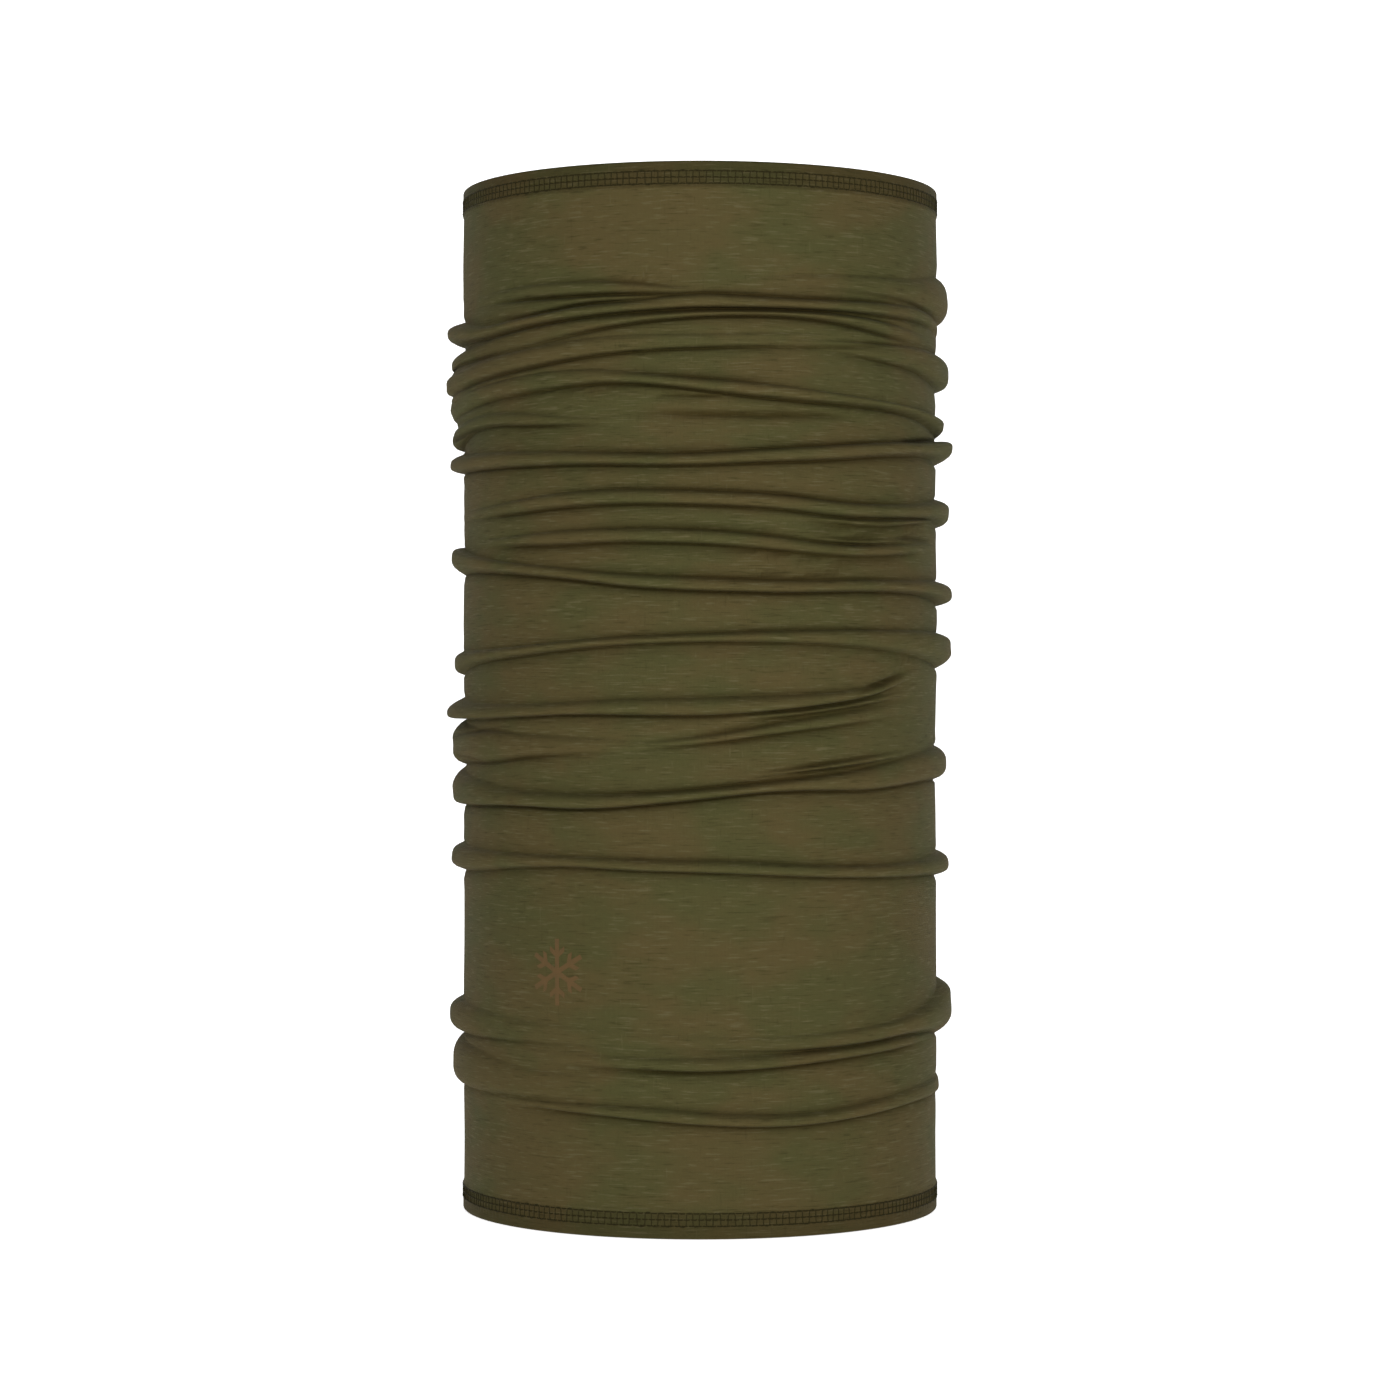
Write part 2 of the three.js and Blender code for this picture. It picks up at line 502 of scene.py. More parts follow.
def grid_object(
    name: str,
    points: Array,
    uv: Array,
    close_rows: bool = False,
    close_columns: bool = False,
) -> bpy.types.Object:
    """Makes a mesh of quads from a grid of points.

    Face (i, j) joins the points (i, j), (i, j+1), (i+1, j+1) and (i+1, j), with the indices taken
    round where the grid closes on itself. The UV grid has one more row or column where it closes.

    Args:
        name: the object's name.
        points: rows x columns x 3, in metres.
        uv: the UV of each corner of the grid, x 2.
        close_rows: joins the last row to the first.
        close_columns: joins the last column to the first.

    Returns:
        The object, at the origin.
    """
    rows, columns, _ = points.shape
    i, j = np.meshgrid(
        np.arange(rows if close_rows else rows - 1),
        np.arange(columns if close_columns else columns - 1),
        indexing="ij",
    )
    i, j = i.ravel(), j.ravel()
    corners_i = np.stack([i, i, i + 1, i + 1], axis=1)
    corners_j = np.stack([j, j + 1, j + 1, j], axis=1)
    vertex = (corners_i % rows) * columns + corners_j % columns
    mesh = bpy.data.meshes.new(name)
    mesh.vertices.add(rows * columns)
    mesh.vertices.foreach_set("co", points.reshape(-1))
    mesh.loops.add(vertex.size)
    mesh.loops.foreach_set("vertex_index", vertex.ravel().astype(np.int32))
    mesh.polygons.add(len(vertex))
    mesh.polygons.foreach_set("loop_start", np.arange(0, vertex.size, 4, dtype=np.int32))
    mesh.polygons.foreach_set("use_smooth", np.ones(len(vertex), bool))
    layer = mesh.uv_layers.new(name="UVMap")
    layer.data.foreach_set("uv", uv[corners_i, corners_j].reshape(-1))
    mesh.update(calc_edges=True)
    mesh.validate()
    return add_object(name, mesh)


def add_wall(piece: bpy.types.Object, name: str, thickness: float, offset: float) -> bpy.types.Modifier:
    """Gives a sheet its thickness.

    Args:
        piece: the sheet.
        name: the modifier's name.
        thickness: in millimetres.
        offset: -1 to grow behind the faces, 0 to grow both ways.

    Returns:
        The modifier.
    """
    wall = piece.modifiers.new(name, "SOLIDIFY")
    wall.thickness = thickness * MM
    wall.offset = offset
    return wall


def stand_in(piece: bpy.types.Object, material: bpy.types.Material, node: str) -> None:
    """Dresses a piece and hides the CAD node that it replaces.

    Args:
        piece: the piece.
        material: its material.
        node: the CAD node that the piece replaces.
    """
    piece.data.materials.append(material)
    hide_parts(node)


def thread_object(name: str, path: Array, thickness: float, sides: int = 6) -> bpy.types.Object:
    """A closed thread along a closed path.

    At each point of the path a circle stands in the plane of the tube's radius and of the
    direction square to both the path and that radius.

    Args:
        name: the object's name.
        path: points x 3 in metres, without the first one repeated.
        thickness: the thread's diameter, in millimetres.
        sides: corners of its section.

    Returns:
        The thread.
    """
    tangent = np.roll(path, -1, axis=0) - np.roll(path, 1, axis=0)
    tangent /= np.linalg.norm(tangent, axis=1, keepdims=True)
    outward = path * np.array([1.0, 1.0, 0.0])
    outward -= tangent * np.sum(outward * tangent, axis=1, keepdims=True)
    outward /= np.linalg.norm(outward, axis=1, keepdims=True)
    sideways = np.cross(tangent, outward)
    turn = np.arange(sides)[None, :, None] * (TURN / sides)
    ring = outward[:, None] * np.cos(turn) + sideways[:, None] * np.sin(turn)
    points = path[:, None] + ring * (thickness * MM / 2.0)
    length = run_length(*np.concatenate([path, path[:1]]).T)
    uv = paired(length[:, None], np.linspace(0.0, 1.0, sides + 1))
    return grid_object(name, points, uv, close_rows=True, close_columns=True)


# ---- the pleats ----


@dataclass(frozen=True)
class Pleat:
    """One gathered fold. Stations are (bearing in degrees, top, bottom, reach), in millimetres."""

    stations: tuple[tuple[float, float, float, float], ...]
    lean: tuple[float, float, float] = (0.0, 0.18, 0.0)  # how far the crest hangs at left, front and right
    groove: float = 1.0  # how strongly the cloth is drawn in at its feet
    top_groove: float = 1.0  # the share of that which its top foot has
    rows: float = 9.0  # rows of the grid that it takes

    def at(self, bearing: Array) -> Array:
        """Its top, bottom and reach at each bearing.

        Straight lines join the stations, and a running average over seven columns rounds them.

        Args:
            bearing: the columns' bearings, in degrees, evenly round the tube.

        Returns:
            The three lines.
        """
        turns, *lines = np.array(self.stations).T
        weights = (1.0, 2.0, 3.0, 4.0, 3.0, 2.0, 1.0)
        return np.stack([averaged(np.interp(bearing, turns, line, period=360.0), weights) for line in lines])

    def hang(self, bearing: Array) -> Array:
        """The share of its reach by which the crest hangs down at each bearing."""
        left, front, right = self.lean
        return np.interp(bearing, (-180.0, -90.0, 0.0, 90.0, 180.0), (front, left, front, right, front))

    def goes_round(self) -> bool:
        """Whether it is drawn in at its feet and has stations all the way round the back."""
        return self.groove > 0.0 and self.stations[0][0] <= -135 and self.stations[-1][0] >= 110


@dataclass(frozen=True)
class Crease:
    """A valley with no fold beside it. Stations are (bearing in degrees, height, depth), in millimetres."""

    stations: tuple[tuple[float, float, float], ...]
    width: float = 1.0

    def depth_at(self, bearing: Array, level: Array) -> Array:
        """How far the cloth is drawn in: a bell across the crease, joined by straight lines along it.

        Args:
            bearing: the columns' bearings, in degrees.
            level: rows x columns of heights.

        Returns:
            The depth.
        """
        turns, heights, depths = np.array(self.stations).T
        middle = np.interp(bearing, turns, heights)
        return np.interp(bearing, turns, depths, left=0.0, right=0.0) * bell(level - middle, self.width)


PLEATS: tuple[Pleat, ...] = (
    Pleat((  # the round bulge high on the right
        (-135, 300, 294, 0.4), (-90, 298, 294.5, 0), (0, 298, 296, 0), (30, 301, 296.5, 0.4),
        (60, 302.5, 295.2, 0.9), (75, 305.5, 293.2, 2.4), (90, 307.6, 291.6, 3.9), (110, 306, 291.5, 3.4),
        (135, 304, 291.5, 2.8), (180, 301, 292.5, 1.5)), lean=(0, 0.15, 0.2)),
    Pleat((  # upper ridge of the left fan
        (-65, 297.5, 295, 0), (-45, 299, 294.5, 1.1), (-30, 298.9, 294.2, 1.4), (-20, 298.5, 294.3, 1.4),
        (-10, 296.6, 293.8, 1.0), (3, 294.6, 293.4, 0)), rows=6),
    Pleat((  # middle ridge of the left fan
        (-65, 294.5, 290, 0), (-50, 294.2, 288.6, 0.9), (-40, 293.8, 289.2, 1.1), (-30, 293.7, 291.6, 1.1),
        (-20, 293.9, 291.9, 0.9), (-3, 293, 291.5, 0)), rows=6),
    Pleat((  # from the highest left ear across the front
        (-180, 288, 284, 2.0), (-135, 290, 284.3, 2.6), (-110, 292, 284.8, 3.9), (-90, 293.1, 284.9, 5.9),
        (-75, 290.2, 284.2, 3.9), (-60, 287.2, 283.6, 2.8), (-50, 288.4, 285.1, 2.4),
        (-40, 289.7, 286.1, 2.3), (-30, 291, 287.2, 2.2), (-20, 291.5, 288.1, 2.2),
        (-10, 292.8, 288.7, 2.2), (0, 294.5, 289.4, 2.3), (10, 293.5, 289.4, 2.3), (25, 293.1, 289.5, 2.2),
        (45, 293.8, 289.4, 1.9), (66, 294, 289.5, 1.1), (90, 290, 287, 0.2), (135, 286.5, 283, 1.4)),
        lean=(0.04, 0.18, 0)),
    Pleat((  # the thin rope below it
        (-180, 281.8, 279.5, 0.8), (-135, 281.5, 277.8, 2.0), (-110, 282.3, 276.6, 3.0),
        (-90, 282.7, 276.3, 4.9), (-75, 282.3, 276.9, 2.2), (-60, 283, 277.9, 0.8),
        (-50, 284.6, 278.7, 0.55), (-40, 285.7, 280, 0.6), (-30, 286.7, 282.2, 0.8),
        (-20, 287.5, 284.2, 1.2), (-10, 288.2, 285.5, 1.5), (0, 289, 286.5, 1.7), (10, 289.1, 287, 1.6),
        (20, 289.2, 287, 1.6), (30, 289.1, 286.4, 1.7), (40, 288.8, 284.9, 1.6), (50, 287.7, 283.2, 1.1),
        (60, 286.3, 282, 0.5), (80, 284.5, 281.5, 0), (135, 283, 281, 0)), lean=(0.38, 0.18, 0)),
    Pleat((  # the second right ear
        (-135, 276.5, 272, 1.4), (-110, 276, 274, 0.4), (-90, 276, 274.5, 0), (0, 279, 277.5, 0),
        (30, 280.6, 277.4, 0.4), (45, 280.6, 275.2, 1.0), (60, 281.2, 273.8, 1.9), (75, 281.2, 271, 3.2),
        (90, 280.7, 269.2, 4.8), (110, 280.5, 270, 3.9), (135, 279, 271, 3.0), (180, 277.5, 272, 2.2)),
        lean=(0, 0.15, 0.08)),
    Pleat((  # the third left ear
        (-180, 270, 266.6, 1.0), (-135, 273.5, 267.6, 2.4), (-110, 275.2, 267.9, 4.2),
        (-90, 275.9, 267.4, 7.0), (-75, 276, 268.9, 4.0), (-60, 277.2, 270.9, 2.6), (-50, 278, 271.9, 2.1),
        (-40, 279, 273, 1.9), (-30, 280.6, 274.5, 1.7), (-20, 281.2, 275.6, 1.5), (-10, 281.4, 276.4, 1.3),
        (0, 281.2, 276.8, 1.1), (12, 281.8, 277.4, 0.9), (28, 282.2, 277.8, 0.6), (42, 282, 278.4, 0),
        (135, 270, 267, 0)), lean=(0.11, 0.2, 0), top_groove=0.0),
    Pleat((  # the fourth left ear to the small right one
        (-180, 262, 258.4, 2.0), (-135, 264.5, 259.3, 2.8), (-110, 266.5, 258.9, 3.6),
        (-90, 267, 258.6, 5.1), (-75, 267.6, 261, 2.8), (-60, 269, 263.3, 1.6), (-50, 270, 264.2, 1.3),
        (-40, 270.8, 265, 1.3), (-30, 271.4, 266, 1.6), (-20, 270.6, 266.4, 2.0), (-10, 269, 265.4, 2.2),
        (0, 267.8, 263.7, 2.3), (10, 266.8, 262, 2.3), (20, 265.6, 261, 2.1), (30, 264.2, 260.3, 1.8),
        (40, 263.2, 260, 1.4), (50, 262.2, 259.6, 1.3), (65, 261.3, 258.2, 1.6), (77, 260, 255.6, 2.2),
        (90, 259.2, 253.4, 3.2), (110, 259.2, 254.2, 2.4), (135, 260.5, 256.4, 1.6)),
        lean=(-0.3, 0.18, -0.5), top_groove=0.25),
    Pleat((  # the fifth left ear, with the hollow under it
        (-180, 254, 251.4, 0.3), (-135, 256.2, 251.5, 1.8), (-110, 257.3, 250.6, 3.0),
        (-90, 257.8, 249.7, 4.2), (-75, 258.6, 253.4, 2.5), (-60, 260, 255.7, 1.7),
        (-50, 259.2, 254.6, 1.5), (-40, 258, 253.8, 1.0), (-31, 256, 253.7, 0.8), (-18, 255, 253.4, 0),
        (135, 253, 251, 0)), lean=(0.15, 0.2, 0), top_groove=0.5),
    Pleat((  # the sixth left ear to the long right one
        (-180, 250, 245, 2.4), (-135, 249.4, 243.9, 2.9), (-110, 249, 243, 4.0), (-90, 249.3, 242.7, 5.0),
        (-75, 247.5, 241.9, 3.5), (-60, 247, 241.6, 2.6), (-45, 246.4, 241.4, 2.5),
        (-30, 245.6, 241.2, 2.5), (-10, 244.4, 240.3, 2.5), (0, 244.5, 240.3, 2.5), (10, 245.4, 241, 2.5),
        (30, 247.4, 242.4, 2.4), (40, 248.5, 243.6, 2.3), (50, 249.6, 245, 2.3), (70, 251, 246.4, 3.1),
        (80, 252.2, 246, 4.2), (90, 253.4, 244.8, 6.5), (110, 252.4, 245.6, 4.4), (135, 251, 246, 3.0)),
        lean=(0.13, 0.15, -0.3)),
    Pleat((  # upper ridge of the fifth right ear
        (-180, 231, 227, 1.4), (-135, 230, 227, 0.5), (-90, 229, 226.2, 0), (-65, 229.3, 226.2, 0.4),
        (-50, 230.8, 226.4, 1.3), (-35, 232.8, 227.7, 2.0), (-20, 233.7, 228.5, 2.3), (0, 233, 228.1, 2.4),
        (20, 231.9, 226.9, 2.3), (30, 230.3, 225.4, 2.2), (40, 229.6, 224.9, 2.2), (57, 230.1, 225.7, 2.3),
        (70, 231.6, 226.4, 2.9), (80, 233.1, 226.6, 3.7), (90, 234.4, 223.9, 5.0), (110, 233, 225, 3.7),
        (135, 232, 226, 2.6))),
    Pleat((  # the thin rope under it
        (20, 225.2, 223.9, 0), (32, 224.8, 223, 1.0), (45, 224.5, 222.1, 1.4), (60, 225.4, 223.7, 1.3),
        (72, 226.5, 225.4, 0.5), (84, 227, 226, 0)), rows=6),
    Pleat((  # a short slip of cloth between the two
        (22, 219.2, 217.8, 0), (32, 218.6, 216.9, 1.0), (40, 218, 216.5, 1.2), (50, 218.8, 217, 0.9),
        (58, 219.6, 217.9, 0)), rows=6),
    Pleat((  # the front pair below
        (-62, 219, 216.6, 0), (-50, 219.6, 216.2, 1.1), (-35, 221, 215.9, 1.9), (-20, 221.5, 216.6, 2.2),
        (0, 221, 216, 2.3), (10, 220, 215, 2.2), (20, 218.6, 213.9, 2.1), (30, 216.8, 212.8, 1.9),
        (40, 216.2, 212.4, 1.8), (57, 217.8, 213.7, 1.2), (74, 218.5, 216, 0))),
    Pleat((  # the seventh left ear down to the sixth right one
        (-180, 212.5, 206.6, 2.4), (-135, 215.5, 208.6, 2.8), (-110, 217.5, 209.3, 3.5),
        (-90, 218.5, 208.5, 4.6), (-75, 215.6, 208.9, 3.0), (-60, 212.8, 208.3, 2.3),
        (-45, 210.6, 206.8, 2.2), (-30, 208.7, 205, 2.2), (-20, 207.2, 202.9, 2.4),
        (-10, 206.5, 201.9, 2.5), (0, 206, 201.3, 2.5), (20, 205.1, 200.7, 2.5), (40, 205.8, 201.6, 2.4),
        (55, 206, 201.8, 2.5), (70, 206.4, 201.2, 3.3), (80, 206.6, 199.6, 4.2), (90, 206.7, 198, 5.5),
        (110, 207.5, 200, 4.4), (135, 209.5, 203, 3.2)), lean=(-0.3, 0.18, 0)),
    Pleat((  # the eighth left ear to the round right one
        (-180, 187, 180.5, 2.4), (-135, 185.5, 179, 2.3), (-110, 184.5, 176.6, 2.7),
        (-90, 183.7, 175.2, 3.3), (-75, 183.5, 178, 2.5), (-62, 183.7, 179.9, 2.2), (-50, 184.5, 181, 2.2),
        (-40, 185.5, 182.2, 2.2), (-30, 186.5, 183.3, 2.2), (-20, 187.5, 184.5, 2.0),
        (0, 188.4, 185.4, 1.8), (20, 189.5, 185.2, 1.7), (40, 190, 184.2, 1.7), (55, 190, 182.5, 2.3),
        (70, 190, 180.6, 3.5), (80, 189.7, 178.6, 4.1), (90, 189.4, 177.5, 5.1), (110, 189.5, 178.6, 4.2),
        (135, 188.5, 179.5, 3.2)), lean=(0.08, 0.15, -0.18), groove=0.8),
    Pleat((  # the sharp ninth left ear, up into the wedge on the right
        (-180, 170, 166, 1.3), (-135, 168, 163, 2.6), (-110, 167.6, 161.8, 4.2), (-90, 169, 161.5, 6.1),
        (-75, 166.7, 161.3, 3.6), (-60, 166.4, 161.5, 2.7), (-40, 166.6, 162.5, 2.5),
        (-30, 167.3, 163, 2.5), (-20, 168.1, 162.7, 2.4), (0, 168.5, 162.3, 2.3), (10, 168.8, 163, 2.3),
        (20, 169.2, 164.3, 2.2), (30, 169.9, 165.8, 2.1), (40, 171, 167.6, 2.0), (47, 172.8, 169.2, 1.6),
        (53, 175.2, 171.6, 0.8), (59, 177, 174.5, 0), (75, 178, 176, 0), (135, 173, 170, 0)),
        lean=(0.3, 0.18, 0), groove=0.9, top_groove=0.7),
    Pleat((  # slanting rope below the wedge
        (8, 163.2, 161.2, 0), (18, 163.8, 161.7, 1.2), (30, 165.4, 163.7, 1.3), (40, 167.2, 165.3, 1.2),
        (50, 169.4, 167.1, 0.8), (60, 171.5, 169, 0)), rows=6),
    Pleat((  # broad soft slope under it
        (-20, 153.5, 151.5, 0), (0, 156.3, 153.4, 0.9), (20, 160.9, 157, 1.2), (40, 164.4, 160, 1.0),
        (52, 166.4, 162.2, 0.5), (62, 168.4, 164.4, 0)), rows=6),
    Pleat((  # the big round tenth left ear
        (-180, 158, 150.2, 1.8), (-135, 160, 149, 2.5), (-110, 161, 147.6, 3.4), (-90, 161.6, 145.8, 4.2),
        (-75, 159.2, 147.6, 3.0), (-60, 157.6, 147.2, 2.0), (-45, 157, 149.4, 1.1), (-30, 156, 150.5, 0.6),
        (-12, 155, 152, 0), (110, 155, 152, 0), (135, 156, 150.8, 1.0)), lean=(0.2, 0.05, 0)),
    Pleat((  # top slip of the eighth right ear
        (12, 144.6, 143.6, 0), (22, 146.2, 144.5, 0.9), (30, 147.6, 145.5, 1.2), (40, 149.2, 146.8, 1.1),
        (50, 150.7, 148.4, 0.7), (62, 152, 150.5, 0)), rows=6),
    Pleat((  # the eleventh left ear to the eighth right one
        (-180, 148.5, 137.2, 2.2), (-135, 147, 134.5, 2.8), (-110, 146.2, 133.1, 3.4),
        (-90, 146, 132.9, 4.1), (-75, 143.4, 133.3, 3.1), (-60, 141, 133.6, 2.7), (-50, 139.2, 134, 2.5),
        (-30, 138.4, 133.1, 2.5), (-20, 138.4, 133.6, 2.5), (-10, 139, 135, 2.4), (0, 140.1, 136.3, 2.2),
        (10, 141.4, 138, 2.0), (20, 142.8, 139, 2.0), (33, 144.4, 138.9, 1.9), (42, 145.9, 138.5, 1.7),
        (55, 148.5, 139.9, 1.6), (70, 151.2, 141.4, 2.4), (90, 152.9, 141.2, 4.0), (110, 152, 141, 2.8),
        (135, 150.5, 139.4, 2.0)), lean=(0.36, 0.15, 0.06), rows=12),
    Pleat((  # the even fold below the middle
        (-180, 119.5, 113, 2.5), (-135, 120.5, 113, 2.9), (-110, 121, 112.2, 3.5), (-90, 120.9, 111.2, 4.4),
        (-75, 120, 112.1, 3.1), (-65, 119.6, 112.4, 2.6), (-50, 119.1, 114, 2.2), (-40, 118.9, 114.8, 2.1),
        (-30, 118.8, 115.2, 2.0), (-20, 118.4, 114.4, 2.1), (-10, 118, 114, 2.2), (0, 117.9, 113.8, 2.3),
        (10, 117.7, 113.2, 2.3), (20, 116.6, 112.4, 2.3), (35, 115.6, 111.5, 2.3), (45, 115.3, 111.1, 2.4),
        (60, 115.8, 110.9, 2.7), (75, 116.6, 110.7, 3.2), (90, 118.1, 109.2, 4.5), (110, 118.2, 111, 3.2),
        (135, 118.5, 112, 2.6)), lean=(0.02, 0.18, 0.05), groove=0.75, top_groove=0.9),
    Pleat((  # upper fold of the lowest group
        (-180, 70.5, 60, 2.6), (-135, 70, 59.5, 3.2), (-110, 70, 58.4, 4.4), (-90, 69.4, 57.7, 4.9),
        (-75, 69, 58.4, 2.8), (-60, 67.4, 58.8, 1.1), (-45, 66.2, 59.2, 0.8), (-30, 65, 59.6, 0.4),
        (-15, 64, 59.2, 0.15), (0, 63, 58, 0.4), (20, 62.6, 57.6, 0.7), (35, 63.5, 58.4, 1.7),
        (45, 64.5, 59, 2.1), (55, 65.8, 60.4, 2.8), (74, 70.5, 60, 4.0), (90, 76, 56.6, 5.3),
        (110, 75.2, 57.2, 4.8), (135, 73, 58.6, 3.6)), lean=(-0.04, 0.12, -0.2), groove=0.8, top_groove=0.0,
        rows=12),
    Pleat((  # short fold right of the middle
        (-44, 57.4, 53.4, 0), (-30, 57, 52.9, 0.5), (-12, 56.2, 51.9, 0.9), (0, 56.4, 51.5, 1.7),
        (15, 56.9, 52.4, 2.0), (30, 58.1, 54, 2.0), (40, 58.9, 55, 1.7), (55, 60, 56, 1.2),
        (72, 59.5, 57.6, 0)), top_groove=0.15, rows=7),
    Pleat((  # the big round lowest left ear
        (-180, 54, 44, 1.6), (-135, 56, 43, 2.5), (-110, 57.5, 42, 3.2), (-90, 57.5, 41.1, 3.6),
        (-75, 56, 41.4, 2.9), (-60, 54, 41.6, 1.9), (-50, 51.4, 41.8, 1.4), (-35, 50.4, 42, 0.9),
        (-15, 50, 43, 0), (110, 52, 47, 0), (135, 53, 45.4, 0.6)), lean=(0.25, 0.1, 0), groove=0.4),
    Pleat((  # the lowest fold, fading to the left
        (-180, 42, 39, 0.3), (-90, 41, 39, 0), (-55, 41, 39.2, 0), (-42, 41.1, 38.8, 0.8),
        (-30, 41.3, 37.9, 1.3), (-20, 41.3, 37.3, 1.6), (-10, 41, 36.2, 1.9), (0, 39.7, 35.3, 2.2),
        (10, 38.8, 34.5, 2.2), (20, 38.4, 34.2, 2.2), (30, 38.8, 34.6, 2.2), (40, 40, 35.8, 2.1),
        (50, 41.5, 36.7, 1.8), (60, 43, 38, 1.5), (75, 44, 38.4, 1.1), (90, 44.3, 38.2, 0.8),
        (110, 44.5, 38.5, 1.2), (135, 44, 38.8, 0.9)), groove=0.75, top_groove=0.75),
    Pleat((  # the slack that carries the left ears
        (-150, 282.5, 256, 0), (-125, 282.5, 256, 2.6), (-110, 283, 255, 3.8), (-90, 283.3, 254.5, 4.7),
        (-75, 281.5, 255, 2.8), (-62, 280, 256, 0.7), (-52, 279, 257, 0)), groove=0.0, rows=0.0),
)


CREASES: tuple[Crease, ...] = (
    Crease(((-14, 262.3, 0), (-7, 262.2, 1.3), (2, 262, 1.6), (10, 262, 0)), width=0.8),
    Crease(((-25, 257.6, 0), (-12, 257, 0.9), (0, 256.4, 1.5), (15, 256.3, 1.6), (30, 256.8, 1.3),
        (44, 256.4, 0)), width=1.6),
    Crease(((-88, 254, 1.8), (-78, 254, 1.7), (-66, 255, 1.3), (-50, 255, 1.0), (-31, 253.6, 0.5),
        (-20, 253.4, 0))),
    Crease(((-6, 276.8, 0), (6, 277, 0.5), (16, 277.5, 0.9), (27, 277.9, 1.3), (38, 278.8, 1.1),
        (50, 280.4, 0.6), (64, 281.5, 0)), width=1.1),
    Crease(((-26, 270, 0), (-14, 269.4, 0.9), (0, 267.8, 1.4), (12, 266.6, 1.1), (24, 265, 0.4),
        (34, 264, 0)), width=0.9),
    Crease(((-32, 276.4, 0), (-22, 277, 0.6), (-8, 277.6, 0.5), (4, 278.2, 0)), width=1.6),
    Crease(((-88, 156, 0.9), (-75, 157, 1.0), (-60, 158, 1.1), (-50, 157.4, 0.5), (-42, 157, 0)),
        width=0.8),
    Crease(((-82, 150, 0.8), (-70, 149.3, 1.0), (-60, 147, 0.9), (-50, 145.4, 0)), width=0.8),
    Crease(((36, 168.6, 0), (42, 171, 1.4), (48, 173, 1.7), (54, 175.2, 1.2), (60, 177, 0)), width=1.1),
    Crease(((48, 219.4, 0), (57, 219.5, 1.5), (66, 219.4, 1.4), (78, 219.4, 0)), width=1.2),
    Crease(((-64, 106, 0), (-50, 107, 0.5), (-32, 109, 0.5), (-20, 108, 0)), width=1.4),
    Crease(((-66, 59.4, 0), (-50, 66, 0.5), (-38, 65, 0)), width=1.4),
    Crease(((48, 249.6, 0), (56, 250.1, 1.2), (62, 250.5, 1.9), (70, 251.5, 1.8), (78, 252.3, 1.2),
        (86, 253, 0)), width=1.0),
)


# ---- the knitted tube ----


